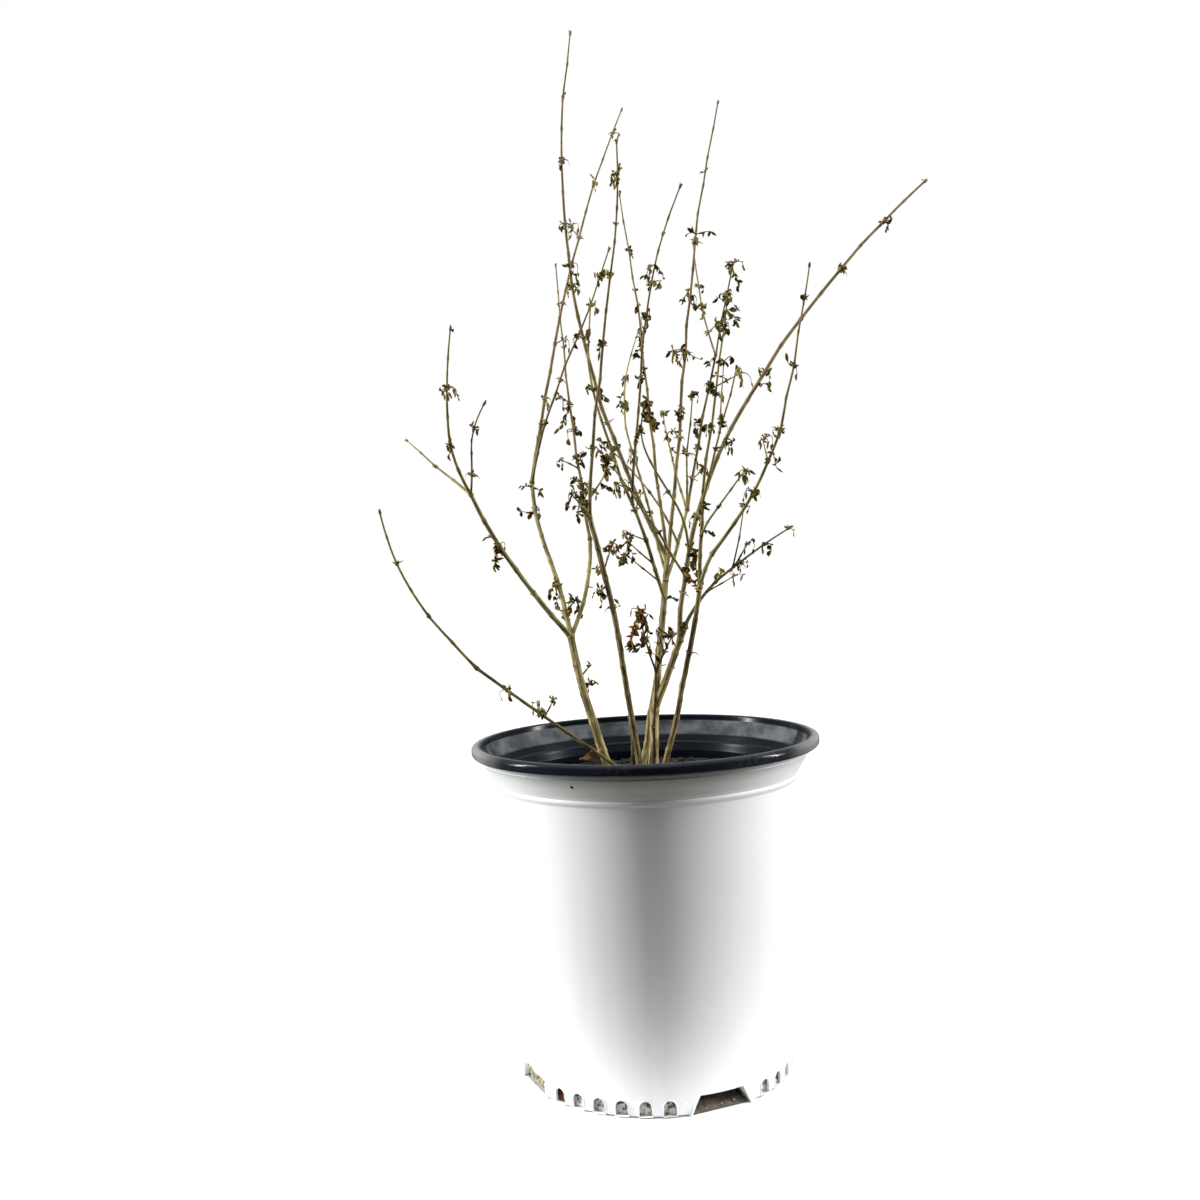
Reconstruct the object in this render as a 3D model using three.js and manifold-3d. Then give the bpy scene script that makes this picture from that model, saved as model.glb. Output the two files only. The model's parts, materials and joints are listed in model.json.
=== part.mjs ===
// A potted lilac in winter rest: bare canes and shoots with dried tufts of leaves and seed heads,
// growing in a white nursery pot with a rolled dark rim.
// Millimetres, +Z up. The origin is the middle of the pot's flat underside. The front is -Y.
import * as THREE from 'three';
import { mergeVertices } from 'three/addons/utils/BufferGeometryUtils.js';
import Module from 'manifold-3d';

const wasm = await Module();
wasm.setup();

// Pot
const POT_HEIGHT = 235;
const RIM_RADIUS = 123.7;
const RIM_HEIGHT = 7.3;
const LEDGE_RADIUS = 107.7;
const LEDGE_HEIGHT = 208.7;
const FLARE_RADIUS = 118.5;
const LEDGE_BAND = 4;
const LEDGE_STEP = 0.8;
const LEDGE_BEAD = 0.6;
const BEAD_HEIGHT = 1.5;
const FOOT_RADIUS = 96.6;
const FOOT_EDGE = 1.2;
const WALL = 1.5;
const FLOOR = 2.2;
const LINER = 1.2;
const LINER_DEPTH = 44;
const ROLL_RADIUS = 3;
const ROLL_TURNS = [-90, -54, -18, 18, 54, 90];
const POT_SIDES = 40;

// Openings round the pot's foot: four lift arches, with a row of small drain notches between them
const ARCHES = 4;
const FIRST_ARCH = 25.5;
const ARCH_WIDTH = 44;
const ARCH_HEIGHT = 13;
const ARCH_DEPTH = 30;
const ARCH_SLOPE = 6;
const NOTCHES = 6;
const NOTCH_PITCH = 9.6;
const NOTCH_WIDTH = 7.2;
const NOTCH_HEIGHT = 11;
const NOTCH_SILL = 1.4;
const NOTCH_DEPTH = 6;
const OVERSHOOT = 8;
const CURVE_STEPS = 3;

// Soil and the dry leaf that lies on it
const SOIL_HEIGHT = 205;
const SOIL_DIP = 4;
const SOIL_EDGE = 26;
const LEAF_PLACE = [-41, 60];
const LEAF_LENGTH = 24;
const LEAF_WIDTH = 17;
const LEAF_THICKNESS = 1.2;
const LEAF_CURL = 7;
const LEAF_BEND = 2.8;
const LEAF_STEPS = 8;
const LEAF_TURN = -25;

// Limbs
const GAP = 0.3;
const KNOT_PITCH = 22;
const KNOT_SWELL = 0.35;
const KNOT_LENGTH = 2.6;
const KINK = 0.8;
const ROOT_FLARE = 0.32;
const FLARE_LENGTH = 9;
const ROOT_DEPTH = 6;
const ROOT_SINK = 0.6;
const SAMPLE_STEP = 2;

// Twigs and tufts
const TWIG_CHANCE = 0.06;
const TWIG_LENGTH = [8, 16];
const TWIG_WIDTH = [1.1, 0.7];
const TWIG_SPREAD = 48;
const TUFT_BLADES = [2, 3];
const BLADE_LENGTH = [8, 13];
const BLADE_WIDTH = 3.8;
const BLADE_THICKNESS = 1.5;
const BLADE_ROOT = 0.8;
const BLADE_DIP = [10, 75];
const CLEARANCE = 0.7;
const TIP_INSET = 1;

// Colours
const WHITE = 0xe9ebe9;
const CHARCOAL = 0x1b1e24;
const SOIL_BROWN = 0x2a211a;
const CANE_TAN = 0x9a8a63;
const SHOOT_TAN = 0x7d7150;
const LEAF_RUST = 0x8a5426;

const WELD = 1e-4;
const UP = new THREE.Vector3(0, 0, 1);
const radians = THREE.MathUtils.degToRad;
const lerp = THREE.MathUtils.lerp;

// A repeatable number from 0 to 1 for a seed and a count.
function scatter(seed, count) {
  const wave = Math.sin(seed * 12.9898 + count * 78.233) * 43758.5453;
  return wave - Math.floor(wave);
}

function within(range, share) {
  return lerp(range[0], range[1], share);
}

// Solids

function toSolid(geometry) {
  geometry.deleteAttribute('normal');
  geometry.deleteAttribute('uv');
  const merged = mergeVertices(geometry, WELD);
  const corners = Array.from(merged.index.array);
  const kept = [];
  for (let i = 0; i < corners.length; i += 3) {
    const [a, b, c] = corners.slice(i, i + 3);
    if (a !== b && b !== c && c !== a) kept.push(a, b, c);
  }
  return new wasm.Manifold(new wasm.Mesh({
    numProp: 3,
    vertProperties: new Float32Array(merged.attributes.position.array),
    triVerts: new Uint32Array(kept),
  }));
}

function toGeometry(solid) {
  const mesh = solid.getMesh();
  const geometry = new THREE.BufferGeometry();
  geometry.setAttribute('position', new THREE.BufferAttribute(mesh.vertProperties, 3));
  geometry.setIndex(new THREE.BufferAttribute(mesh.triVerts, 1));
  geometry.computeVertexNormals();
  return geometry;
}

// The largest closed body of a solid, without the loose scraps that a cut can leave.
function withoutScraps(solid) {
  const { vertProperties, triVerts } = solid.getMesh();
  const leader = Uint32Array.from({ length: vertProperties.length / 3 }, (_, i) => i);
  const find = (i) => {
    let top = i;
    while (leader[top] !== top) top = leader[top];
    return top;
  };
  for (let i = 0; i < triVerts.length; i += 3) {
    leader[find(triVerts[i + 1])] = find(triVerts[i]);
    leader[find(triVerts[i + 2])] = find(triVerts[i]);
  }
  const bodies = new Map();
  for (let i = 0; i < triVerts.length; i += 3) {
    const top = find(triVerts[i]);
    if (!bodies.has(top)) bodies.set(top, []);
    bodies.get(top).push(triVerts[i], triVerts[i + 1], triVerts[i + 2]);
  }
  const pieces = [...bodies.values()].map((corners) => new wasm.Manifold(new wasm.Mesh({
    numProp: 3,
    vertProperties,
    triVerts: new Uint32Array(corners),
  })));
  return pieces.reduce((best, piece) => (piece.volume() > best.volume() ? piece : best));
}

// A body turned about the Z axis from [radius, height] corners, up the outside and down the inside.
function turned(corners) {
  const profile = corners.map(([radius, height]) => new THREE.Vector2(radius, height));
  return toSolid(new THREE.LatheGeometry(profile, POT_SIDES).rotateX(Math.PI / 2));
}

// A flat outline pushed outward from the Z axis: drawn across and up, from one radius to another.
function pushedOut(outline, fromRadius, depth, angle) {
  const geometry = new THREE.ExtrudeGeometry(outline, {
    depth,
    bevelEnabled: false,
    curveSegments: CURVE_STEPS,
  });
  geometry.rotateX(Math.PI / 2).translate(0, -fromRadius, 0).rotateZ(angle);
  return toSolid(geometry);
}

// Pot

const rimBottom = POT_HEIGHT - RIM_HEIGHT;
const bandFoot = LEDGE_HEIGHT - LEDGE_BAND;

// The pot's outer radius at a height: a slight taper up to the ledge, then the flare to the rim.
function potRadius(height) {
  if (height <= LEDGE_HEIGHT) return lerp(FOOT_RADIUS, LEDGE_RADIUS - LEDGE_STEP, height / LEDGE_HEIGHT);
  return lerp(LEDGE_RADIUS, FLARE_RADIUS, (height - LEDGE_HEIGHT) / (rimBottom - LEDGE_HEIGHT));
}

// The space of one lift arch, with a little extra all round.
function archCutter(angle, extra) {
  const half = ARCH_WIDTH / 2 + extra;
  const top = ARCH_HEIGHT + extra;
  const front = new THREE.Shape();
  front.moveTo(-half, -1);
  front.lineTo(-half, 0);
  front.lineTo(-half + ARCH_SLOPE, top);
  front.lineTo(half - ARCH_SLOPE, top);
  front.lineTo(half, 0);
  front.lineTo(half, -1);
  front.closePath();
  return pushedOut(front, FOOT_RADIUS - ARCH_DEPTH - extra, ARCH_DEPTH + OVERSHOOT, angle);
}

// The space of one drain notch: upright sides and a round top.
function notchCutter(angle) {
  const half = NOTCH_WIDTH / 2;
  const outline = new THREE.Shape();
  outline.moveTo(-half, NOTCH_SILL);
  outline.lineTo(half, NOTCH_SILL);
  outline.lineTo(half, NOTCH_HEIGHT - half);
  outline.absarc(0, NOTCH_HEIGHT - half, half, 0, Math.PI, false);
  outline.closePath();
  return pushedOut(outline, FOOT_RADIUS - NOTCH_DEPTH, NOTCH_DEPTH + OVERSHOOT, angle);
}

const archAngles = [];
const notchAngles = [];
for (let i = 0; i < ARCHES; i += 1) {
  const middle = FIRST_ARCH + i * 360 / ARCHES;
  archAngles.push(radians(middle));
  for (let k = 0; k < NOTCHES; k += 1) {
    const aside = (k - (NOTCHES - 1) / 2) * NOTCH_PITCH;
    notchAngles.push(radians(middle + 180 / ARCHES + aside));
  }
}

// The white wall and floor, with a raised pocket over each lift arch.
function potWall() {
  const top = rimBottom - GAP;
  let wall = turned([
    [0, 0],
    [FOOT_RADIUS - FOOT_EDGE, 0],
    [FOOT_RADIUS, FOOT_EDGE],
    [potRadius(bandFoot), bandFoot],
    [LEDGE_RADIUS + LEDGE_BEAD, LEDGE_HEIGHT - BEAD_HEIGHT],
    [LEDGE_RADIUS + LEDGE_BEAD, LEDGE_HEIGHT],
    [potRadius(top), top],
    [potRadius(top) - WALL, top],
    [potRadius(LEDGE_HEIGHT) - WALL, LEDGE_HEIGHT],
    [potRadius(bandFoot) - WALL, bandFoot],
    [FOOT_RADIUS - WALL, FLOOR],
    [0, FLOOR],
  ]);
  const inside = turned([
    [0, 0],
    [FOOT_RADIUS - WALL / 2, 0],
    [FOOT_RADIUS - WALL / 2, 3 * ARCH_HEIGHT],
    [0, 3 * ARCH_HEIGHT],
  ]);
  for (const angle of archAngles) {
    wall = wall.add(archCutter(angle, WALL).intersect(inside));
  }
  for (const angle of archAngles) wall = wall.subtract(archCutter(angle, 0));
  for (const angle of notchAngles) wall = wall.subtract(notchCutter(angle));
  return wall;
}

// The dark rolled rim and the dark lining that runs from it down the inside of the pot.
function potRim() {
  const lining = (height) => potRadius(height) - WALL - GAP;
  const foot = POT_HEIGHT - LINER_DEPTH;
  const roll = RIM_HEIGHT / 2;
  const middle = POT_HEIGHT - roll;
  const corners = [
    [lining(foot) - LINER, foot],
    [lining(foot), foot],
    [lining(bandFoot), bandFoot],
    [lining(LEDGE_HEIGHT), LEDGE_HEIGHT],
    [lining(rimBottom), rimBottom],
  ];
  for (const turn of ROLL_TURNS) {
    const across = Math.cos(radians(turn)) * ROLL_RADIUS;
    corners.push([RIM_RADIUS - ROLL_RADIUS + across, middle + Math.sin(radians(turn)) * roll]);
  }
  corners.push(
    [lining(rimBottom), POT_HEIGHT],
    [lining(rimBottom) - LINER, rimBottom],
    [lining(LEDGE_HEIGHT) - LINER, LEDGE_HEIGHT],
    [lining(bandFoot) - LINER, bandFoot],
    [lining(foot) - LINER, foot],
  );
  return turned(corners);
}

// The soil fills the pot up to its lining, and dips a little along it.
function soil() {
  const lining = (height) => potRadius(height) - WALL - LINER - 2 * GAP;
  const bare = (height) => potRadius(height) - WALL - GAP;
  const foot = POT_HEIGHT - LINER_DEPTH - GAP;
  let fill = turned([
    [0, FLOOR + GAP],
    [bare(FLOOR + GAP), FLOOR + GAP],
    [bare(foot), foot],
    [lining(foot), foot],
    [lining(SOIL_HEIGHT - SOIL_DIP), SOIL_HEIGHT - SOIL_DIP],
    [lining(SOIL_HEIGHT) - SOIL_EDGE, SOIL_HEIGHT],
    [0, SOIL_HEIGHT],
  ]);
  for (const angle of archAngles) fill = fill.subtract(archCutter(angle, WALL + GAP));
  return fill;
}

// A fallen leaf, curled up to both sides of its rib, that lies on the soil.
function dryLeaf() {
  const blade = new THREE.Shape();
  const half = LEAF_LENGTH / 2;
  blade.moveTo(-half, 0);
  blade.quadraticCurveTo(-half / 3, -LEAF_WIDTH, half, 0);
  blade.quadraticCurveTo(-half / 3, LEAF_WIDTH, -half, 0);
  const geometry = new THREE.ExtrudeGeometry(blade, {
    depth: LEAF_THICKNESS,
    bevelEnabled: false,
    curveSegments: LEAF_STEPS,
  });
  const place = geometry.attributes.position;
  for (let i = 0; i < place.count; i += 1) {
    const aside = place.getY(i) / (LEAF_WIDTH / 2);
    const along = place.getX(i) / half;
    place.setZ(i, place.getZ(i) + LEAF_CURL * aside * aside + LEAF_BEND * along * along);
  }
  geometry.computeBoundingBox();
  const lift = SOIL_HEIGHT + GAP - geometry.boundingBox.min.z;
  geometry.rotateZ(radians(LEAF_TURN)).translate(LEAF_PLACE[0], LEAF_PLACE[1], lift);
  return toSolid(geometry);
}

// Limbs

const limbs = new Map();

// A limb runs from its foot to its tip. bow pushes its middle aside, sway pushes one half to one
// side and the other half back. width is its thickness at foot and tip. tufts and twigs are the
// shares of its length where dried tufts and side twigs stand.
function limb(kind, name, foot, tip, shape) {
  const made = {
    kind,
    name,
    foot: new THREE.Vector3(...foot),
    tip: new THREE.Vector3(...tip),
    bow: new THREE.Vector3(...(shape.bow ?? [0, 0, 0])),
    sway: new THREE.Vector3(...(shape.sway ?? [0, 0, 0])),
    width: shape.width,
    tufts: shape.tufts ?? [],
    twigs: shape.twigs ?? [],
    seed: limbs.size + 1,
  };
  made.knots = Math.max(2, Math.round(made.foot.distanceTo(made.tip) / KNOT_PITCH));
  limbs.set(name, made);
  return made;
}

// A cane rises from the soil. A bough or a shoot grows from a parent, at a share of its length.
function cane(name, foot, tip, shape) {
  limb('cane', name, [foot[0], foot[1], SOIL_HEIGHT], tip, shape);
}

function bough(name, parent, share, tip, shape) {
  limb('bough', name, pointOn(limbs.get(parent), share).toArray(), tip, shape).parent = parent;
}

function shoot(name, parent, share, tip, shape) {
  limb('shoot', name, pointOn(limbs.get(parent), share).toArray(), tip, shape).parent = parent;
}

// The small sideways step that a limb takes at each of its knots.
function kinkAt(made, share) {
  const place = share * made.knots;
  const below = Math.floor(place);
  const step = (knot) => {
    if (knot <= 0 || knot >= made.knots) return new THREE.Vector3();
    const x = scatter(made.seed, 2 * knot) - 0.5;
    const y = scatter(made.seed, 2 * knot + 1) - 0.5;
    return new THREE.Vector3(2 * KINK * x, 2 * KINK * y, 0);
  };
  return step(below).lerp(step(below + 1), place - below);
}

function pointOn(made, share) {
  return made.foot.clone().lerp(made.tip, share)
    .addScaledVector(made.bow, 4 * share * (1 - share))
    .addScaledVector(made.sway, Math.sin(2 * Math.PI * share))
    .add(kinkAt(made, share));
}

function radiusOn(made, share) {
  const length = made.foot.distanceTo(made.tip);
  const place = share * made.knots;
  const offKnot = Math.abs(place - Math.round(place)) * length / made.knots;
  const inner = Math.round(place) > 0 || made.kind !== 'cane';
  const swell = inner ? KNOT_SWELL * Math.max(0, 1 - offKnot / KNOT_LENGTH) : 0;
  const flare = made.kind === 'cane' ? 1 + ROOT_FLARE * Math.exp(-share * length / FLARE_LENGTH) : 1;
  return within(made.width, share) / 2 * flare + swell;
}

// The shares where a limb's tube has a ring: its ends and knots, and on a thicker limb round each knot.
function ringShares(made) {
  const length = made.foot.distanceTo(made.tip);
  const reach = KNOT_LENGTH / length;
  const shares = [0];
  if (made.kind === 'cane') shares.push(FLARE_LENGTH / length);
  for (let knot = 1; knot < made.knots; knot += 1) {
    const share = knot / made.knots;
    if (made.kind === 'shoot') shares.push(share);
    else shares.push(share - reach, share, share + reach);
  }
  shares.push(1);
  return shares;
}

// How far a limb's tube runs on below its foot, into the soil or into its parent.
function rootDepth(made) {
  if (!made.parent) return ROOT_DEPTH;
  return ROOT_SINK * limbs.get(made.parent).width[1] / 2;
}

// A tube bent along a limb, with a little extra all round and past both ends.
function limbTube(made, extra) {
  const sides = made.kind === 'shoot' ? 4 : 6;
  const shares = ringShares(made);
  const steps = shares.length - 1;
  const places = shares.map((share) => pointOn(made, share));
  const first = places[1].clone().sub(places[0]).normalize();
  const last = places[steps].clone().sub(places[steps - 1]).normalize();
  places[0].addScaledVector(first, -extra - rootDepth(made));
  places[steps].addScaledVector(last, extra);
  const path = new THREE.CatmullRomCurve3(places);
  const across = new THREE.Vector3(0, 1, 0);
  const geometry = new THREE.CylinderGeometry(1, 1, 1, sides, steps);
  const position = geometry.attributes.position;
  for (let i = 0; i < position.count; i += 1) {
    const ring = Math.round((position.getY(i) + 0.5) * steps);
    const along = path.getTangent(ring / steps);
    const right = new THREE.Vector3().crossVectors(along, across).normalize();
    const front = new THREE.Vector3().crossVectors(right, along);
    const radius = radiusOn(made, shares[ring]) + extra;
    const spot = places[ring].clone()
      .addScaledVector(right, -position.getX(i) * radius)
      .addScaledVector(front, -position.getZ(i) * radius);
    position.setXYZ(i, spot.x, spot.y, spot.z);
  }
  return toSolid(geometry);
}

// The whole plant, read from the foot up

cane('arching_cane', [-2, -18], [-113, -38, 292],
  { bow: [3, 0, -4], width: [2.6, 2.1], tufts: [0.6, 0.8], twigs: [0.7] });
cane('left_cane', [-24, 4], [-50, 10, 308], { bow: [-2, 0, 0], width: [6.4, 5.0], twigs: [0.62] });
cane('inner_cane', [-3, -8], [-31, -40, 392],
  { bow: [3, 0, 0], width: [4.4, 3.4], tufts: [0.7], twigs: [0.74] });
cane('back_cane', [-4, 14], [22, 26, 362], { bow: [3, 0, 0], width: [5.0, 4.0] });
cane('front_cane', [5, -6], [8, -6, 255], { width: [6.8, 6.4] });
cane('right_cane', [10, -16], [42, -38, 342], { bow: [2, 0, 0], width: [4.0, 3.2] });
cane('old_stub', [-11, -4], [-10, -2, 250], { bow: [2, 0, 0], width: [3.2, 2.4] });
cane('thin_dark_cane', [5, -16], [10, -24, 284], { width: [2.2, 1.8] });

bough('left_outer_bough', 'left_cane', 1, [-114, -18, 412],
  { bow: [-4, 0, -2], width: [3.8, 2.8], tufts: [0.7] });
bough('left_middle_bough', 'left_cane', 1, [-76, 46, 422],
  { bow: [-1, 0, -2], sway: [2, 0, 0], width: [3.6, 2.8], tufts: [0.14, 0.26, 0.38, 0.79] });
bough('left_inner_bough', 'left_cane', 1, [-34, 32, 378], { bow: [4, 0, 0], width: [3.2, 2.6] });
bough('front_left_bough', 'front_cane', 1, [20, 8, 346], { width: [4.6, 3.8] });
bough('front_right_bough', 'front_cane', 1, [32, -8, 314],
  { bow: [1, 0, 0], width: [5.1, 4.2], tufts: [0.9] });
bough('right_middle_bough', 'front_left_bough', 1, [38, 26, 396], { bow: [0, 0, -2], width: [2.8, 2.2] });
bough('right_spur', 'right_cane', 1, [51, -44, 364], { bow: [-1, 0, 0], width: [2.8, 2.5] });

shoot('arching_shoot', 'arching_cane', 1, [-170, -62, 402], { bow: [-12, 0, 1], width: [2.1, 1.2] });
shoot('outer_high_shoot', 'left_outer_bough', 1, [-115, -75, 519],
  { bow: [-10, 0, -2], sway: [-1, 0, 0], width: [2.3, 1.0], tufts: [0.33, 0.68] });
shoot('outer_low_shoot', 'left_outer_bough', 1, [-165, 24, 456], { bow: [-1, 0, 0], width: [2.0, 0.9] });
shoot('outer_inner_shoot', 'left_outer_bough', 1, [-96, -66, 470],
  { bow: [-5, 0, -2], sway: [2, 0, 0], width: [1.6, 0.9], tufts: [0.3, 0.63] });
shoot('middle_tall_shoot', 'left_middle_bough', 1, [3, 120, 718],
  { bow: [-10, 0, 0], sway: [1, 0, 0], width: [2.7, 1.0], tufts: [0.2, 0.57, 0.76, 0.9] });
shoot('middle_short_shoot', 'left_middle_bough', 1, [-10, -34, 574],
  { bow: [-2, 0, 4], sway: [-2, 0, 0], width: [2.0, 0.9], tufts: [0.2, 0.58, 0.76, 0.84] });
shoot('back_left_shoot', 'left_inner_bough', 1, [-54, 98, 594],
  { bow: [-2, 0, -4], width: [2.4, 0.9], tufts: [0.1, 0.2, 0.3, 0.44, 0.68] });
shoot('inner_tall_shoot', 'inner_cane', 1, [-2, -105, 624],
  { bow: [2, 0, 6], sway: [-2, 0, 0], width: [2.4, 0.9], tufts: [0.2, 0.46, 0.6, 0.9] });
shoot('inner_front_twigs', 'inner_cane', 1, [-42, -66, 408],
  { bow: [2, 0, -2], width: [1.6, 0.9], tufts: [0.95] });
shoot('inner_side_twigs', 'inner_cane', 1, [-18, -24, 427],
  { bow: [-3, 0, 1], sway: [-2, 0, 0], width: [1.7, 1.0], tufts: [0.5, 0.98] });
shoot('crossing_shoot', 'front_left_bough', 0.86, [-24, -34, 539],
  { bow: [-12, -24, 1], sway: [4, 0, 0], width: [2.8, 1.0], tufts: [0.5, 0.7], twigs: [0.2, 0.28] });
shoot('crossing_high_shoot', 'crossing_shoot', 0.32, [38, -82, 601],
  { bow: [-9, 0, 2], sway: [2, 0, 0], width: [2.0, 0.9], tufts: [0.43, 0.58, 0.74] });
shoot('tallest_shoot', 'back_cane', 1, [-32, 18, 740],
  { bow: [-32, 0, -1], width: [3.4, 1.0], tufts: [0.55, 0.67, 0.77] });
shoot('back_tall_shoot', 'back_cane', 1, [-2, 92, 644],
  { bow: [2, 0, -4], sway: [-1, 0, 0], width: [2.6, 0.9], tufts: [0.36, 0.65, 0.86] });
shoot('back_short_shoot', 'back_cane', 0.93, [9, 112, 542],
  { bow: [-15, 0, -4], sway: [5, 0, 0], width: [2.2, 0.9], tufts: [0.45, 0.73] });
shoot('straight_tall_shoot', 'front_left_bough', 1, [75, 66, 702],
  { bow: [-5, 0, -3], sway: [2, 0, 0], width: [2.9, 1.0], tufts: [0.34, 0.48, 0.61, 0.72] });
shoot('outermost_shoot', 'front_right_bough', 0.82, [219, 26, 625],
  { bow: [-36, -20, 15], sway: [-4, 0, 0], width: [3.6, 1.6], tufts: [0.16, 0.22, 0.55, 0.78, 0.88] });
shoot('leaning_upper_shoot', 'outermost_shoot', 0.17, [11, -66, 468],
  { bow: [-6, 0, 0], sway: [6, 0, 0], width: [2.0, 0.9], tufts: [0.84, 0.98] });
shoot('leaning_lower_shoot', 'outermost_shoot', 0.12, [-13, -92, 422],
  { bow: [0, 0, 2], width: [2.0, 0.9], tufts: [0.97] });
shoot('leaning_back_shoot', 'right_middle_bough', 0.55, [-18, 38, 445],
  { bow: [5, 0, 2], width: [1.7, 0.9], tufts: [0.97] });
shoot('fan_left_shoot', 'right_middle_bough', 1, [25, 104, 476],
  { bow: [-2, 0, -1], width: [1.8, 0.9], tufts: [0.97] });
shoot('fan_middle_shoot', 'right_middle_bough', 1, [44, -6, 477],
  { bow: [-2, 0, -1], width: [1.7, 0.9], tufts: [0.6, 0.97] });
shoot('fan_right_shoot', 'right_middle_bough', 1, [80, 44, 577],
  { bow: [-1, 0, 0], width: [2.2, 1.0], tufts: [0.3, 0.54, 0.74, 0.83, 0.9, 0.98] });
shoot('fan_back_shoot', 'fan_right_shoot', 0.62, [54, 102, 606],
  { bow: [-3, 0, 0], width: [1.4, 0.9], tufts: [0.35, 0.6] });
shoot('right_tall_shoot', 'right_cane', 1, [67, -58, 534],
  { bow: [-3, 0, 0], sway: [-1, 0, 0], width: [2.8, 0.9], tufts: [0.55, 0.7, 0.84, 0.97] });
shoot('right_outer_shoot', 'right_spur', 1, [114, -112, 541],
  { bow: [16, 0, 0], sway: [3, 0, 0], width: [2.4, 0.9], tufts: [0.26, 0.43, 0.63, 0.88] });
shoot('right_low_shoot', 'right_tall_shoot', 0.18, [70, -108, 416],
  { bow: [-3, 0, -2], width: [1.7, 0.9], tufts: [0.97] });
shoot('right_front_shoot', 'right_tall_shoot', 0.3, [68, -98, 482],
  { width: [1.7, 0.9], tufts: [0.55], twigs: [0.48] });
shoot('dark_side_shoot', 'front_right_bough', 1, [114, 42, 380],
  { bow: [-8, 0, 3], sway: [-1, 0, 0], width: [2.6, 1.1], tufts: [0.6, 0.8, 0.98], twigs: [0.4, 0.48] });
shoot('dead_tuft_twig', 'thin_dark_cane', 1, [0, -34, 328],
  { bow: [-2, 0, 0], width: [1.4, 0.9], tufts: [0.5, 0.98] });
shoot('dark_right_twig', 'thin_dark_cane', 1, [23, -30, 310], { width: [1.5, 0.9], tufts: [0.98] });

// Every limb's line, as places that a twig or a blade of another limb has to keep clear of
const taken = [];
for (const made of limbs.values()) {
  const count = Math.ceil(made.foot.distanceTo(made.tip) / SAMPLE_STEP);
  for (let i = 0; i <= count; i += 1) {
    const share = i / count;
    taken.push({ owner: made.name, place: pointOn(made, share), radius: radiusOn(made, share) });
  }
}

// Whether a straight piece that grows on one limb stays clear of all the others.
function isClear(owner, from, to, radius) {
  const steps = Math.ceil(from.distanceTo(to) / SAMPLE_STEP);
  for (let i = 0; i <= steps; i += 1) {
    const spot = from.clone().lerp(to, i / steps);
    if (spot.z - radius < SOIL_HEIGHT + CLEARANCE) return false;
    for (const other of taken) {
      if (other.owner === owner) continue;
      if (spot.distanceTo(other.place) < radius + other.radius + CLEARANCE) return false;
    }
  }
  return true;
}

function take(owner, from, to, radius) {
  const steps = Math.ceil(from.distanceTo(to) / SAMPLE_STEP);
  for (let i = 0; i <= steps; i += 1) {
    taken.push({ owner, place: from.clone().lerp(to, i / steps), radius });
  }
}

// A closed shape standing on +Z, laid along a line from a place.
function laid(geometry, from, along) {
  geometry.applyQuaternion(new THREE.Quaternion().setFromUnitVectors(UP, along));
  return toSolid(geometry.translate(from.x, from.y, from.z));
}

// A direction from a turn about +Z and a rise over the level.
function heading(turn, rise) {
  const level = Math.cos(rise);
  return new THREE.Vector3(level * Math.cos(turn), level * Math.sin(turn), Math.sin(rise));
}

function twigSolid(from, along, length) {
  const geometry = new THREE.CylinderGeometry(TWIG_WIDTH[1] / 2, TWIG_WIDTH[0] / 2, length, 3, 1);
  return laid(geometry.rotateX(Math.PI / 2).translate(0, 0, length / 2), from, along);
}

function bladeSolid(from, along, length) {
  const geometry = new THREE.OctahedronGeometry(1, 0);
  geometry.scale(BLADE_WIDTH / 2, BLADE_THICKNESS / 2, length / 2).translate(0, 0, length / 2);
  return laid(geometry, from, along);
}

// Dried leaves and seed heads that hang from one spot: flat blades, their roots sunk in the limb.
function tuft(made, spot, seed) {
  const blades = [];
  const count = Math.round(within(TUFT_BLADES, scatter(seed, 1)));
  for (let i = 0; i < count; i += 1) {
    const turn = 2 * Math.PI * (i / count + scatter(seed, 10 + i) / count);
    const along = heading(turn, -radians(within(BLADE_DIP, scatter(seed, 20 + i))));
    const length = within(BLADE_LENGTH, scatter(seed, 30 + i));
    const from = spot.clone().addScaledVector(along, -BLADE_ROOT);
    const end = from.clone().addScaledVector(along, length);
    if (!isClear(made.name, spot, end, BLADE_WIDTH / 2)) continue;
    take(made.name, spot, end, BLADE_WIDTH / 2);
    blades.push(bladeSolid(from, along, length));
  }
  return blades;
}

// A short side twig at a knot, with a tuft at its end.
function sideTwig(made, share, seed) {
  const spot = pointOn(made, share);
  const ahead = share + SAMPLE_STEP / made.foot.distanceTo(made.tip);
  const stem = pointOn(made, ahead).sub(spot).normalize();
  const turn = 2 * Math.PI * scatter(seed, 2);
  const aside = heading(turn, 0).projectOnPlane(stem).normalize();
  const spread = radians(TWIG_SPREAD);
  const along = stem.multiplyScalar(Math.cos(spread)).addScaledVector(aside, Math.sin(spread));
  const length = within(TWIG_LENGTH, scatter(seed, 3));
  const end = spot.clone().addScaledVector(along, length);
  if (!isClear(made.name, spot, end, TWIG_WIDTH[0] / 2)) return [];
  take(made.name, spot, end, TWIG_WIDTH[0] / 2);
  const tip = end.clone().addScaledVector(along, -TIP_INSET);
  return [twigSolid(spot, along, length), ...tuft(made, tip, seed + 0.5)];
}

function nearestKnot(made, share) {
  return Math.min(made.knots, Math.max(1, Math.round(share * made.knots)));
}

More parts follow.
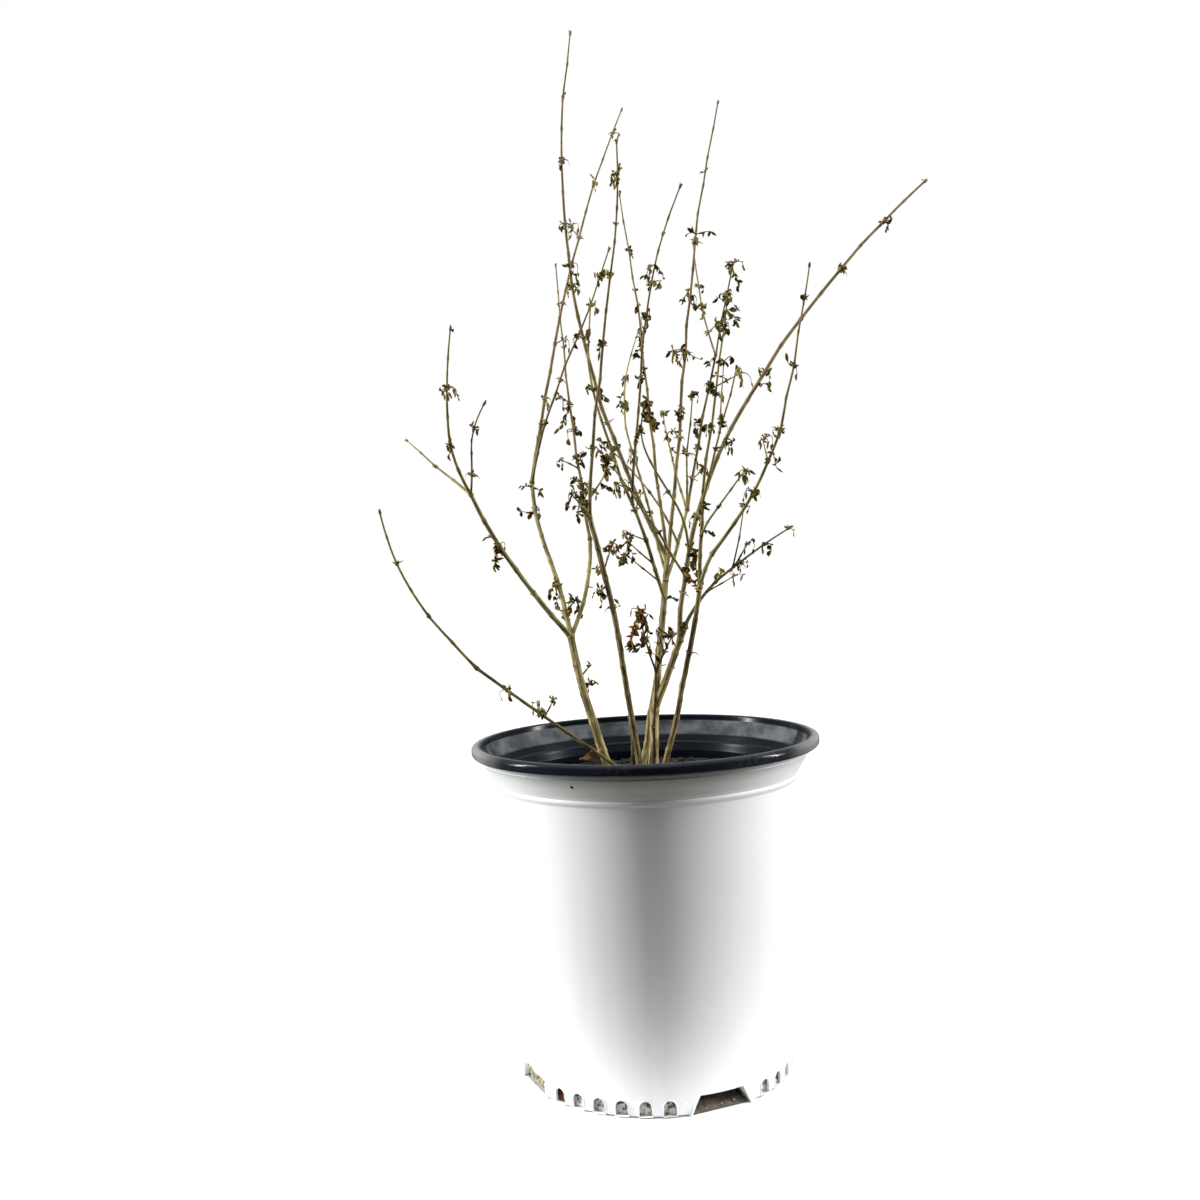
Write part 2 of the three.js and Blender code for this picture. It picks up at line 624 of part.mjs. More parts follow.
// What grows on a limb: tufts and twigs at their own knots, and by chance a twig at other knots.
function grownOn(made) {
  const pieces = [];
  const tufted = made.tufts.map((share) => nearestKnot(made, share));
  const twigged = made.twigs.map((share) => nearestKnot(made, share));
  for (let knot = 1; knot <= made.knots; knot += 1) {
    const seed = 100 * made.seed + knot;
    const share = knot / made.knots;
    const lucky = made.kind === 'shoot' && knot < made.knots && scatter(seed, 0) < TWIG_CHANCE;
    if (tufted.includes(knot)) {
      const inset = TIP_INSET / made.foot.distanceTo(made.tip);
      pieces.push(...tuft(made, pointOn(made, Math.min(share, 1 - inset)), seed));
    } else if (twigged.includes(knot) || lucky) {
      pieces.push(...sideTwig(made, share, seed));
    }
  }
  return pieces;
}

// The block of soil, a little proud of its top, that cuts every cane flat at its foot.
function groundBlock() {
  const side = 2 * RIM_RADIUS;
  const block = new THREE.BoxGeometry(side, side, SOIL_HEIGHT);
  return toSolid(block.translate(0, 0, SOIL_HEIGHT / 2 + GAP));
}

// Each limb is cut clear of its parent and of the thicker limbs that leave the same spot.
function limbSolid(made, ground) {
  let solid = limbTube(made, 0);
  if (made.kind === 'cane') solid = solid.subtract(ground);
  if (made.parent) solid = solid.subtract(limbTube(limbs.get(made.parent), GAP));
  for (const other of limbs.values()) {
    const besides = made.parent && other.parent === made.parent && other !== made;
    if (besides && other.seed < made.seed && other.foot.distanceTo(made.foot) < KNOT_PITCH) {
      solid = solid.subtract(limbTube(other, GAP));
    }
  }
  solid = withoutScraps(solid);
  for (const piece of grownOn(made)) solid = solid.add(piece);
  return solid;
}

function finish(color, roughness) {
  return new THREE.MeshStandardMaterial({ color, roughness, metalness: 0 });
}

function named(name, solid, color, roughness) {
  const mesh = new THREE.Mesh(toGeometry(solid), finish(color, roughness));
  mesh.name = name;
  return mesh;
}

const pot = new THREE.Group();
pot.add(named('pot_wall', potWall(), WHITE, 0.35));
pot.add(named('pot_rim', potRim(), CHARCOAL, 0.3));
pot.add(named('potting_soil', soil(), SOIL_BROWN, 0.95));
pot.add(named('dry_leaf', dryLeaf(), LEAF_RUST, 0.8));

const plant = new THREE.Group();
const ground = groundBlock();
for (const made of limbs.values()) {
  const color = made.kind === 'shoot' ? SHOOT_TAN : CANE_TAN;
  plant.add(named(made.name, limbSolid(made, ground), color, 0.7));
}

const group = new THREE.Group();
group.add(pot, plant);

export default group;
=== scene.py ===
# %% [markdown]
# # A potted lilac in winter rest
# The real thing is a young shrub in a white nursery pot. It has dropped its leaves, so what is left to
# look at is the growth itself: canes that rise from the soil, boughs that fork from them, thin shoots
# with a joint every few centimetres, and tufts of dried stalks, seed heads and leaves.
# One idea runs through the lesson. A plant isn't drawn piece by piece. It grows by a rule, and the rule
# is written once and then asked for every limb, joint, bud and seed head.
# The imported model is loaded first. It is the fixed frame: every piece made here stands where it says.

# %% Load the frame
import json
import math

import bpy
import numpy as np
from mathutils import Matrix, Vector

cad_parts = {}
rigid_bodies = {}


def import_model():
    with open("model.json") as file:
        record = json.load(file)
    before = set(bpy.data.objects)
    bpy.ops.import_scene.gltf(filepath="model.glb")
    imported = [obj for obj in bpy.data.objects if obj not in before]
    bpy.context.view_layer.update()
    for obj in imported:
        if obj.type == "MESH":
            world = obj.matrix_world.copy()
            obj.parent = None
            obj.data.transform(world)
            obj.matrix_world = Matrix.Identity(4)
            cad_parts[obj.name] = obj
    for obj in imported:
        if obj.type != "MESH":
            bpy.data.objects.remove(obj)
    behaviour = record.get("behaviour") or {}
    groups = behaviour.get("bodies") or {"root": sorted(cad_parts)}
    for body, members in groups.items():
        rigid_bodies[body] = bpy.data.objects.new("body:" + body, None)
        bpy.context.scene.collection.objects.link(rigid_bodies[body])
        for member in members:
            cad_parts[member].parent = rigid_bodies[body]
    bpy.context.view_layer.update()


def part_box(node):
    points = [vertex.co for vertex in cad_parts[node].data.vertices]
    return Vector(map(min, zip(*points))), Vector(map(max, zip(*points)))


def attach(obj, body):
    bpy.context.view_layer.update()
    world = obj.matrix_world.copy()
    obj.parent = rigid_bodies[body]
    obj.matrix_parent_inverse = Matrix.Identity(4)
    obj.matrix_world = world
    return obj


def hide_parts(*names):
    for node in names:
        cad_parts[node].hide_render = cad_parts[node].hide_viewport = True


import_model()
MM = 0.001

# %% [markdown]
# ## The camera
# The photograph was taken from a little above the rim, about nine tenths of a metre in front of the pot,
# with the camera held slightly askew. A fit to the rim, the ledge and the foot of the pot gave its place,
# its focal length and three small angles. The angles are kept as they are: a camera that is set level
# would make the pot stand straighter than it does in the picture.

# %% Place the camera
EYE = Vector((0.0, -0.9255, 0.3705))
PITCH, YAW, ROLL = (math.radians(angle) for angle in (2.259, -1.707, -2.443))
FOCAL_PIXELS = 1300
FRAME_PIXELS = 1200
SENSOR = 36.0

ahead = Vector((math.sin(YAW) * math.cos(PITCH), math.cos(YAW) * math.cos(PITCH), -math.sin(PITCH)))
level = Vector((math.cos(YAW), -math.sin(YAW), 0.0))
upright = level.cross(ahead)
right = level * math.cos(ROLL) + upright * math.sin(ROLL)
up = upright * math.cos(ROLL) - level * math.sin(ROLL)

lens = bpy.data.cameras.new("photo_camera")
lens.sensor_width = SENSOR
lens.lens = SENSOR * FOCAL_PIXELS / FRAME_PIXELS
camera = bpy.data.objects.new("photo_camera", lens)
camera.matrix_world = Matrix.Translation(EYE) @ Matrix((right, up, -ahead)).transposed().to_4x4()
bpy.context.scene.collection.objects.link(camera)
bpy.context.scene.camera = camera
print("the lens is", round(lens.lens, 1), "mm")

# %% [markdown]
# ## Formulas for finishes
# Every finish below is a formula over a place on the surface. Blender keeps such a formula as a net of
# nodes, which is hard to read back. So one small class wraps a socket, and arithmetic on it adds the Math
# nodes. Any other node comes from its one method, which takes the node's type, then its settings, then
# what goes into its sockets. Colours are mixed by Mix nodes, because a Math node turns a colour grey.

# %% Wrap a socket
class Wire:
    """One socket of a material, which can stand in a formula."""

    def __init__(self, tree, socket=None):
        self.tree = tree
        self.socket = socket

    def node(self, kind, settings=None, sockets=None, out=0):
        """Adds a node of any kind and gives back one of its outputs."""
        made = self.tree.nodes.new(kind)
        for name, value in (settings or {}).items():
            setattr(made, name, value)
        for name, value in (sockets or {}).items():
            if isinstance(value, Wire):
                self.tree.links.new(value.socket, made.inputs[name])
            else:
                made.inputs[name].default_value = value
        return Wire(self.tree, made.outputs[out])

    def math(self, operation, first, second=0.0):
        return self.node("ShaderNodeMath", {"operation": operation}, {0: first, 1: second})

    def __add__(self, other):
        return self.math("ADD", self, other)

    def __sub__(self, other):
        return self.math("SUBTRACT", self, other)

    def __mul__(self, other):
        return self.math("MULTIPLY", self, other)

    def __radd__(self, other):
        return self.math("ADD", other, self)

    def __rsub__(self, other):
        return self.math("SUBTRACT", other, self)

    def __rmul__(self, other):
        return self.math("MULTIPLY", other, self)


def noise(place, scale, detail=3.0):
    """Soft clouds from 0 to 1, with this many to a metre."""
    return place.node("ShaderNodeTexNoise", None, {"Vector": place, "Scale": scale, "Detail": detail})


def cells(place, scale):
    """The distance to the nearest of many scattered dots."""
    return place.node("ShaderNodeTexVoronoi", None, {"Vector": place, "Scale": scale})


def stretched(place, across, along):
    """The same place with its pattern squeezed across and drawn out along Z."""
    factors = (across, across, along)
    return place.node("ShaderNodeVectorMath", {"operation": "MULTIPLY"}, {0: place, 1: factors})


def part_of(place, axis):
    """One of the three numbers of a place, by its letter."""
    return place.node("ShaderNodeSeparateXYZ", None, {0: place}, out=axis)


def distance_of(place):
    """How far a place is from the origin."""
    return place.node("ShaderNodeVectorMath", {"operation": "LENGTH"}, {0: place}, out="Value")


def ramp(value, low, high):
    """0 up to low, 1 from high, and a soft step between them. It also runs down, with low over high."""
    return value.node("ShaderNodeMapRange", {"interpolation_type": "SMOOTHSTEP"}, {0: value, 1: low, 2: high})


def mixed(share, first, second):
    """A colour between two others, each a formula or plain red, green and blue."""
    first, second = (tint if isinstance(tint, Wire) else (*tint, 1.0) for tint in (first, second))
    return share.node("ShaderNodeMix", {"data_type": "RGBA"}, {0: share, 6: first, 7: second}, out=2)


# %% [markdown]
# A finish starts as a bare shader. What is the same all over the surface is set on the shader itself.
# What changes from place to place is wired to its colour, its roughness and its bump. The place is read
# in the object's own space, so a pattern stays on the thing when the camera moves.

# %% Start a finish
class Finish:
    """A material under way: its shader, its slot, and the place that its formulas start from."""

    def __init__(self, name, slot, **uniform):
        self.slot = slot
        self.material = bpy.data.materials.new(name)
        self.material.use_nodes = True
        self.shader = self.material.node_tree.nodes["Principled BSDF"]
        self.start = Wire(self.material.node_tree)
        for socket, value in uniform.items():
            self.shader.inputs[socket.replace("_", " ")].default_value = value

    def place(self):
        return self.start.node("ShaderNodeTexCoord", out="Object")

    def grain(self):
        """The place on a limb as if it were straight: across it in X and Y, and along it in Z."""
        return self.start.node("ShaderNodeAttribute", {"attribute_name": "grain"}, out="Vector")

    def wear(self, base, roughness, height, depth):
        """Wires the colour, the roughness and a bump of this depth in metres."""
        tree = self.material.node_tree
        tree.links.new(base.socket, self.shader.inputs["Base Color"])
        tree.links.new(roughness.socket, self.shader.inputs["Roughness"])
        bump = height.node("ShaderNodeBump", None, {"Height": height, "Strength": 1.0, "Distance": depth})
        tree.links.new(bump.socket, self.shader.inputs["Normal"])


# %% [markdown]
# ## The studio
# The picture is high key: a white ground that runs on into a white backdrop, light from both sides, and
# hardly a shadow. Two tall strip lights stand left and right, a third light hangs above, the sky is
# brightest overhead, and the space behind the camera is left dark. Such a pot is often stood on a small
# white disc on a dark cloth, and the ground is whitened later: the pot then gets its grey middle band,
# darkest under the rim and light again near the ground. Here the floor's own paper does both. Away from
# the pot it is dark for bounced light only, so the ground stays pale in every view. A curved backdrop
# would hide the shrub from behind, so there is none, and the sky that is seen is as pale as the floor.

# %% Build the studio
FLOOR_SIDE = 60.0
SKY_SEEN = 1.0
SKY_TOP = 1.95
SKY_BACK = 0.45
SKY_FRONT = 0.03
BACK_SPAN = (-0.5, 0.2)
OVERHEAD_SPAN = (0.5, 0.85)
LIGHT_AIM = Vector((0.0, 0.0, 0.3))
LIGHTS = {
    "left_light": ((-1.30, -0.08, 0.65), (0.05, 0.85), 32.0),
    "right_light": ((1.35, -0.03, 0.62), (0.05, 0.85), 27.0),
    "top_light": ((0.0, 0.0, 1.9), (0.7, 0.7), 3.0),
}
DARK_FROM = 0.13
DARK_TO = 0.20

world = bpy.data.worlds.new("studio")
world.use_nodes = True
bpy.context.scene.world = world
sky = Wire(world.node_tree)
direction = sky.node("ShaderNodeTexCoord", out="Generated")
to_back = part_of(direction, "Y")
upward = part_of(direction, "Z")
around = SKY_FRONT + (SKY_BACK - SKY_FRONT) * ramp(to_back, *BACK_SPAN)
overhead = ramp(upward, *OVERHEAD_SPAN)
shine = overhead * SKY_TOP + (1 - overhead) * around
seen = sky.node("ShaderNodeLightPath", out="Is Camera Ray")
strength = seen * SKY_SEEN + (1 - seen) * shine
backdrop = world.node_tree.nodes["Background"]
backdrop.inputs["Color"].default_value = (1.0, 1.0, 1.0, 1.0)
world.node_tree.links.new(strength.socket, backdrop.inputs["Strength"])

for name, (spot, size, power) in LIGHTS.items():
    lamp = bpy.data.lights.new(name, "AREA")
    lamp.shape = "RECTANGLE"
    lamp.size, lamp.size_y = size
    lamp.energy = power
    light = bpy.data.objects.new(name, lamp)
    light.location = spot
    light.rotation_euler = (LIGHT_AIM - Vector(spot)).to_track_quat("-Z", "Y").to_euler()
    light.visible_camera = False
    bpy.context.scene.collection.objects.link(light)

bpy.ops.mesh.primitive_grid_add(x_subdivisions=2, y_subdivisions=2, size=FLOOR_SIDE)
floor = bpy.context.active_object
floor.name = "floor"
paper = Finish("floor_paper", None, Specular_IOR_Level=0.1)
tooth = noise(paper.place(), 40)
paper_white = mixed(tooth, (0.93, 0.93, 0.925), (0.95, 0.95, 0.945))
bounced = 1 - paper.start.node("ShaderNodeLightPath", out="Is Camera Ray")
dark_share = ramp(distance_of(paper.place()), DARK_FROM, DARK_TO) * bounced
paper_seen = mixed(dark_share, paper_white, (0.06, 0.06, 0.06))
paper.wear(paper_seen, 0.85 + 0.1 * tooth, tooth, 0.0001)
floor.data.materials.append(paper.material)
bpy.context.scene.view_settings.view_transform = "Standard"
print("the studio has", len(LIGHTS), "lights")

# %% [markdown]
# ## From arrays to meshes
# A shrub is thousands of small shapes. As separate objects they would be slow and clumsy, so each kind is
# gathered in one heap of corners and faces, and the heap becomes one mesh. Lengths are in millimetres
# until then. Beside each corner the heap keeps its grain, which is its place on a limb laid out straight.

# %% Gather shapes
class Heap:
    """Corners and faces of many shapes, in millimetres, which become one mesh."""

    def __init__(self):
        self.corners = []
        self.faces = []
        self.grain = []
        self.size = 0

    def add(self, shape, grain=None):
        """Takes one more shape and gives back the heap."""
        corners, faces = shape
        self.corners.append(corners)
        self.grain.append(corners if grain is None else grain)
        self.faces += [part + self.size for part in faces]
        self.size += len(corners)
        return self

    def mesh(self, name):
        """The heap as one smooth mesh in metres."""
        mesh = bpy.data.meshes.new(name)
        corners = np.concatenate(self.corners) * MM
        sizes = np.concatenate([np.full(len(part), part.shape[1]) for part in self.faces])
        loops = np.concatenate([part.ravel() for part in self.faces])
        mesh.vertices.add(len(corners))
        mesh.vertices.foreach_set("co", corners.astype(np.float32).ravel())
        mesh.loops.add(len(loops))
        mesh.loops.foreach_set("vertex_index", loops.astype(np.int32))
        mesh.polygons.add(len(sizes))
        starts = np.concatenate(([0], np.cumsum(sizes)[:-1]))
        mesh.polygons.foreach_set("loop_start", starts.astype(np.int32))
        mesh.update(calc_edges=True)
        grain = mesh.attributes.new("grain", "FLOAT_VECTOR", "POINT")
        grain.data.foreach_set("vector", (np.concatenate(self.grain) * MM).astype(np.float32).ravel())
        mesh.shade_smooth()
        made = bpy.data.objects.new(name, mesh)
        bpy.context.scene.collection.objects.link(made)
        return made

    def piece(self, name, finish, *nodes):
        """The heap as a piece of the plant or pot, in place of these nodes."""
        return dressed(self.mesh(name), finish, *nodes)


def dressed(made, finish, *nodes, sharp=None):
    """Gives a piece its finish, lets it ride on the body and puts it in place of its nodes."""
    made.data.materials.clear()
    made.data.materials.append(finish.material)
    if sharp is not None:
        made.data.set_sharp_from_angle(angle=math.radians(sharp))
    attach(made, "root")
    if nodes:
        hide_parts(*nodes)
    print(made.name, "has", len(made.data.polygons), "faces")
    return made


# %% [markdown]
# Most of the shrub is tubes. A tube follows a line, with its thickness given at each point, or at each
# point and side. Its rings are carried along the line with no twist, so that bark runs straight on.

# %% Make tubes
def unit(vector):
    return vector / np.linalg.norm(vector, axis=-1, keepdims=True)


def rings(rows, count):
    """Four-sided faces over rows of rings."""
    row, side = np.mgrid[0:rows - 1, 0:count]
    ahead = (side + 1) % count
    low = row * count
    high = low + count
    return np.stack((low + side, low + ahead, high + ahead, high + side), -1).reshape(-1, 4)


def sheet_grid(rows, columns):
    """Shares over a sheet: -1 to 1 from side to side, and 0 to 1 from end to end."""
    return np.meshgrid(np.linspace(-1, 1, columns), np.linspace(0, 1, rows))


def sheet_faces(rows, columns):
    """Faces of two sheets of corners, one over the other, with their edges closed."""
    numbers = np.arange(rows * columns).reshape(rows, columns)
    grid = np.stack((numbers[:-1, :-1], numbers[:-1, 1:], numbers[1:, 1:], numbers[1:, :-1]), -1)
    grid = grid.reshape(-1, 4)
    edge = np.concatenate((numbers[0, :-1], numbers[:-1, -1], numbers[-1, :0:-1], numbers[:0:-1, 0]))
    ahead = np.roll(edge, -1)
    sides = np.stack((ahead, edge, edge + numbers.size, ahead + numbers.size), -1)
    return [grid, grid[:, ::-1] + numbers.size, sides]


def across_line(line):
    """The directions along a line and to two sides of it, carried along with no twist."""
    along = unit(np.gradient(line, axis=0))
    side = np.array((0.0, 1.0, 0.0)) if abs(along[0][1]) < 0.8 else np.array((1.0, 0.0, 0.0))
    sides = np.empty_like(line)
    for i, forward in enumerate(along):
        side = unit(side - forward * (side @ forward))
        sides[i] = side
    return along, sides, np.cross(along, sides)


def tube(line, radii, count, offset=0.0):
    """A closed tube and its grain. radii has one number for each point, or one for each side too."""
    along, first, second = across_line(line)
    rows = len(line)
    turn = np.linspace(0, 2 * math.pi, count, endpoint=False)
    radii = np.broadcast_to(np.reshape(radii, (rows, -1)), (rows, count))[..., None]
    ring = np.cos(turn)[None, :, None] * first[:, None] + np.sin(turn)[None, :, None] * second[:, None]
    corners = (line[:, None] + ring * radii).reshape(-1, 3)
    travel = offset + np.concatenate(([0], np.cumsum(np.linalg.norm(np.diff(line, axis=0), axis=1))))
    flat = np.stack((np.cos(turn), np.sin(turn), 0 * turn), -1)[None] * radii
    flat[..., 2] = travel[:, None]
    last = len(corners)
    side = np.arange(count)
    ahead = (side + 1) % count
    foot = np.stack((np.full(count, last), ahead, side), -1)
    top = (rows - 1) * count
    tip = np.stack((np.full(count, last + 1), top + side, top + ahead), -1)
    corners = np.concatenate((corners, line[:1], line[-1:]))
    grain = np.concatenate((flat.reshape(-1, 3), [(0, 0, travel[0])], [(0, 0, travel[-1])]))
    return (corners, [rings(rows, count), foot, tip]), grain


# %% [markdown]
# The pot is turned bodies. A turned body spins a profile about an upright axis. Corners of a profile are
# rounded with true arcs, since it is the roundings of a plastic pot that catch the light.

# %% Turn a profile
def rounded(points, steps=5):
    """A profile of (radius, height, rounding) points, with an arc at each that has a rounding."""
    made = []
    for i, (radius, height, rounding) in enumerate(points):
        here = np.array((radius, height))
        if not rounding:
            made.append(here)
            continue
        before = unit(np.array(points[i - 1][:2]) - here)
        after = unit(np.array(points[(i + 1) % len(points)][:2]) - here)
        half = math.acos(np.clip(before @ after, -1, 1)) / 2
        middle = here + unit(before + after) * rounding / math.sin(half)
        start = here + before * rounding / math.tan(half) - middle
        end = here + after * rounding / math.tan(half) - middle
        for share in np.linspace(0, 1, steps):
            made.append(middle + unit(start * (1 - share) + end * share) * rounding)
    return np.array(made)


def turned(profile, count):
    """A closed body: the profile, up the outside and down the inside, goes round Z and meets itself."""
    turn = np.linspace(0, 2 * math.pi, count, endpoint=False)
    profile = np.concatenate((profile, profile[:1]))
    rows = len(profile)
    corners = np.empty((rows, count, 3))
    corners[..., 0] = profile[:, :1] * np.sin(turn)
    corners[..., 1] = -profile[:, :1] * np.cos(turn)
    corners[..., 2] = profile[:, 1:]
    whole = (rows - 1) * count
    return corners.reshape(-1, 3)[:whole], [rings(rows, count) % whole]


# %% [markdown]
# Chance has to be repeatable, or the plant would grow anew in each run. It comes from a sine, as in the
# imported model's own rule. Lumps in bark and soil come from the same numbers, set on a lattice in space
# and blended smoothly from one lattice point to the next.

# %% Make repeatable chance
def scatter(seed, count):
    """A repeatable number from 0 to 1 for a seed and a count."""
    wave = np.sin(seed * 12.9898 + count * 78.233) * 43758.5453
    return wave - np.floor(wave)


def between(low, high, share):
    return low + (high - low) * share


def drawn(low, high, seed, count):
    """A repeatable number between two others."""
    return between(low, high, scatter(seed, count))


def heading(turn, rise):
    """The direction at a turn about Z and a rise over the level, both in radians."""
    level = math.cos(rise)
    return np.array((level * math.cos(turn), level * math.sin(turn), math.sin(rise)))


def lumps(places, size, seed=0.0):
    """Smooth random numbers from -1 to 1 over places in space, with lumps of about this size."""
    cell = np.floor(places / size)
    part = places / size - cell
    part = part * part * (3 - 2 * part)
    total = 0.0
    for corner in np.ndindex(2, 2, 2):
        near = np.where(corner, part, 1 - part).prod(-1)
        total = total + near * scatter((cell + corner) @ (1.0, 3.7, 9.1), seed)
    return 2 * total - 1


print("the first chance number is", round(float(scatter(1, 1)), 4))

# %% [markdown]
# ## The white pot
# A nursery pot is thin moulded plastic: a plain tapering wall, a small ledge, and above it a flare up to
# the rim. It could be kept from the frame, which has it right but with forty flat sides. Turned again
# with fine steps it gets a clean edge against the backdrop. Its height and width come from the frame, and
# the rest was measured on the photograph with the fitted camera.

# %% Size the pot
POT_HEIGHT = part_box("pot_rim")[1].z / MM
RIM_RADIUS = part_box("pot_rim")[1].x / MM
RIM_FOOT = POT_HEIGHT - 7.3
LEDGE_RADIUS = 107.7
LEDGE_HEIGHT = 208.7
LEDGE_STEP = 0.8
SHOULDER = LEDGE_HEIGHT - 4
FLARE_RADIUS = 118.5
FOOT_RADIUS = 96.6
WALL = 1.5
FLOOR = 2.2
LINER = 1.2
WALL_SLOPE = 0.049
GAP = 0.3
POT_STEPS = 288


def wall_radius(height):
    """The outer radius of the wall: a slight taper up to the ledge, then the flare to the rim."""
    if height <= LEDGE_HEIGHT:
        return between(FOOT_RADIUS, LEDGE_RADIUS - LEDGE_STEP, height / LEDGE_HEIGHT)
    return between(LEDGE_RADIUS, FLARE_RADIUS, (height - LEDGE_HEIGHT) / (RIM_FOOT - LEDGE_HEIGHT))


print("the pot is", round(POT_HEIGHT), "mm high and", round(2 * RIM_RADIUS), "mm across its rim")

# %% [markdown]
# The foot of the wall has small drain arches, six between every two wide lift arches. They are cut with
# a Boolean modifier, by plain blocks pushed outward from the axis. Under each drain arch the edge is
# lifted a little, which gives the wavy dark line on the ground. The Boolean is applied at once, so that
# the wall is a plain mesh again and the cutters can go.

# %% Describe the cuts
ARCHES = 4
FIRST_ARCH = 25.5
ARCH_WIDTH = 44.0
ARCH_HEIGHT = 13.0
ARCH_BACK = FOOT_RADIUS - 30.0
ARCH_SLOPE = 6.0
NOTCHES = 6
NOTCH_PITCH = 9.4
NOTCH_WIDTH = 8.6
NOTCH_HEIGHT = 11.6
NOTCH_SILL = 1.4
NOTCH_BACK = FOOT_RADIUS - 6.0
LIFT = 0.9
LIFT_ROUND = 10.5
LIFT_WIDTH = 8.2
LIFT_STEPS = 9
CUT_END = FOOT_RADIUS + 8.0

arch_turns = [math.radians(FIRST_ARCH + i * 360 / ARCHES) for i in range(ARCHES)]
notch_steps = [math.radians((k - (NOTCHES - 1) / 2) * NOTCH_PITCH) for k in range(NOTCHES)]
notch_turns = [turn + math.pi / ARCHES + step for turn in arch_turns for step in notch_steps]


def arch_outline(extra=0.0):
    """A lift arch across and up, with a little extra all round."""
    half = ARCH_WIDTH / 2 + extra
    top = ARCH_HEIGHT + extra
    flat = half - ARCH_SLOPE
    return [(-half, -1), (half, -1), (half, 0), (flat, top), (-flat, top), (-half, 0)]


def notch_outline(extra=0.0, steps=11):
    """A drain arch: upright sides and a half-round top."""
    half = NOTCH_WIDTH / 2 + extra
    middle = NOTCH_HEIGHT - NOTCH_WIDTH / 2
    turns = np.linspace(0, math.pi, steps)
    top = [(half * math.cos(angle), middle + half * math.sin(angle)) for angle in turns]
    return [(-half, NOTCH_SILL - extra), (half, NOTCH_SILL - extra)] + top


def lift_outline():
    """The shallow round that lifts the pot's edge under a drain arch."""
    middle = LIFT - LIFT_ROUND
    turns = np.linspace(1, -1, LIFT_STEPS) * math.asin(LIFT_WIDTH / 2 / LIFT_ROUND)
    top = [(LIFT_ROUND * math.sin(angle), middle + LIFT_ROUND * math.cos(angle)) for angle in turns]
    return [(-LIFT_WIDTH / 2, -1.0), (LIFT_WIDTH / 2, -1.0)] + top


def turned_to(turn, across, radius, height):
    """A place at an angle round the pot, a little across from there, at a radius and a height."""
    x = across * np.cos(turn) + radius * np.sin(turn)
    y = across * np.sin(turn) - radius * np.cos(turn)
    return np.stack(np.broadcast_arrays(x, y, height), -1)


def block(outline, inner, turn):
    """A closed block: an outline pushed out from a radius until it is clear of the pot."""
    across, height = np.array(outline, float).T
    count = len(outline)
    corners = np.concatenate([turned_to(turn, across, radius, height) for radius in (inner, CUT_END)])
    side = np.arange(count)[None]
    return corners, [rings(2, count), side[:, ::-1], side + count]


def cut_by(piece, heap):
    """Cuts a piece by the shapes of a heap and leaves a plain mesh."""
    cutter = heap.mesh("cutter")
    modifier = piece.modifiers.new("cut", "BOOLEAN")
    modifier.operation = "DIFFERENCE"
    modifier.solver = "EXACT"
    modifier.object = cutter
    graph = bpy.context.evaluated_depsgraph_get()
    piece.data = bpy.data.meshes.new_from_object(piece.evaluated_get(graph))
    piece.modifiers.clear()
    bpy.data.objects.remove(cutter)


print(len(arch_turns), "lift arches and", len(notch_turns), "drain arches")

# %% [markdown]
# The plastic is a satin white with a faint unevenness and a sprinkle of soil specks near the foot. On the
# flare it is painted a greener grey, darkest under the rim: a painted shade for the rim's shadow. Left and
# right the painted shade fades out, a painted light where the side lights fall. The spans below are in
# metres, as a finish sees the pot. A fine ridge runs round the flare, and a drain hole lies in the middle
# of the floor.

# %% Mould the wall
SPECK_SPAN = (0.018, 0.002)
SIDE_LIT_SPAN = (0.035, 0.105)
FLARE_SHADE_SPAN = (LEDGE_HEIGHT * MM, 0.213)
RIM_SHADOW_SPAN = (0.2155, RIM_FOOT * MM)
DRAIN_RADIUS = 6.0


def aside(place):
    """The distance to the left or right of the pot's middle."""
    across = part_of(place, "X")
    return across.node("ShaderNodeMath", {"operation": "ABSOLUTE"}, {0: across})


plastic = Finish("white_plastic", "pot_white", Specular_IOR_Level=0.5)
place = plastic.place()
height = part_of(place, "Z")
wide = noise(place, 12)
fine = noise(place, 700)
low_down = ramp(height, *SPECK_SPAN)
specks = ramp(cells(place, 420), 0.2, 0.1) * low_down * ramp(noise(place, 60), 0.5, 0.6)
# Painted shade on the flare, darkest under the rim, painted out to the left and right where the side lights
# fall.
side_lit = ramp(aside(place), *SIDE_LIT_SPAN)
flare_shade = ramp(height, *FLARE_SHADE_SPAN) * (1 - side_lit)
rim_shadow = ramp(height, *RIM_SHADOW_SPAN) * (1 - 0.7 * side_lit)
clean = mixed(wide, (0.76, 0.775, 0.78), (0.81, 0.82, 0.825))
above = mixed(rim_shadow, mixed(flare_shade, clean, (0.57, 0.59, 0.55)), (0.22, 0.24, 0.21))
base = mixed(specks, above, (0.10, 0.07, 0.05))
plastic.wear(base, 0.34 + 0.1 * wide + 0.06 * fine, fine + 2.0 * wide, 0.00006)

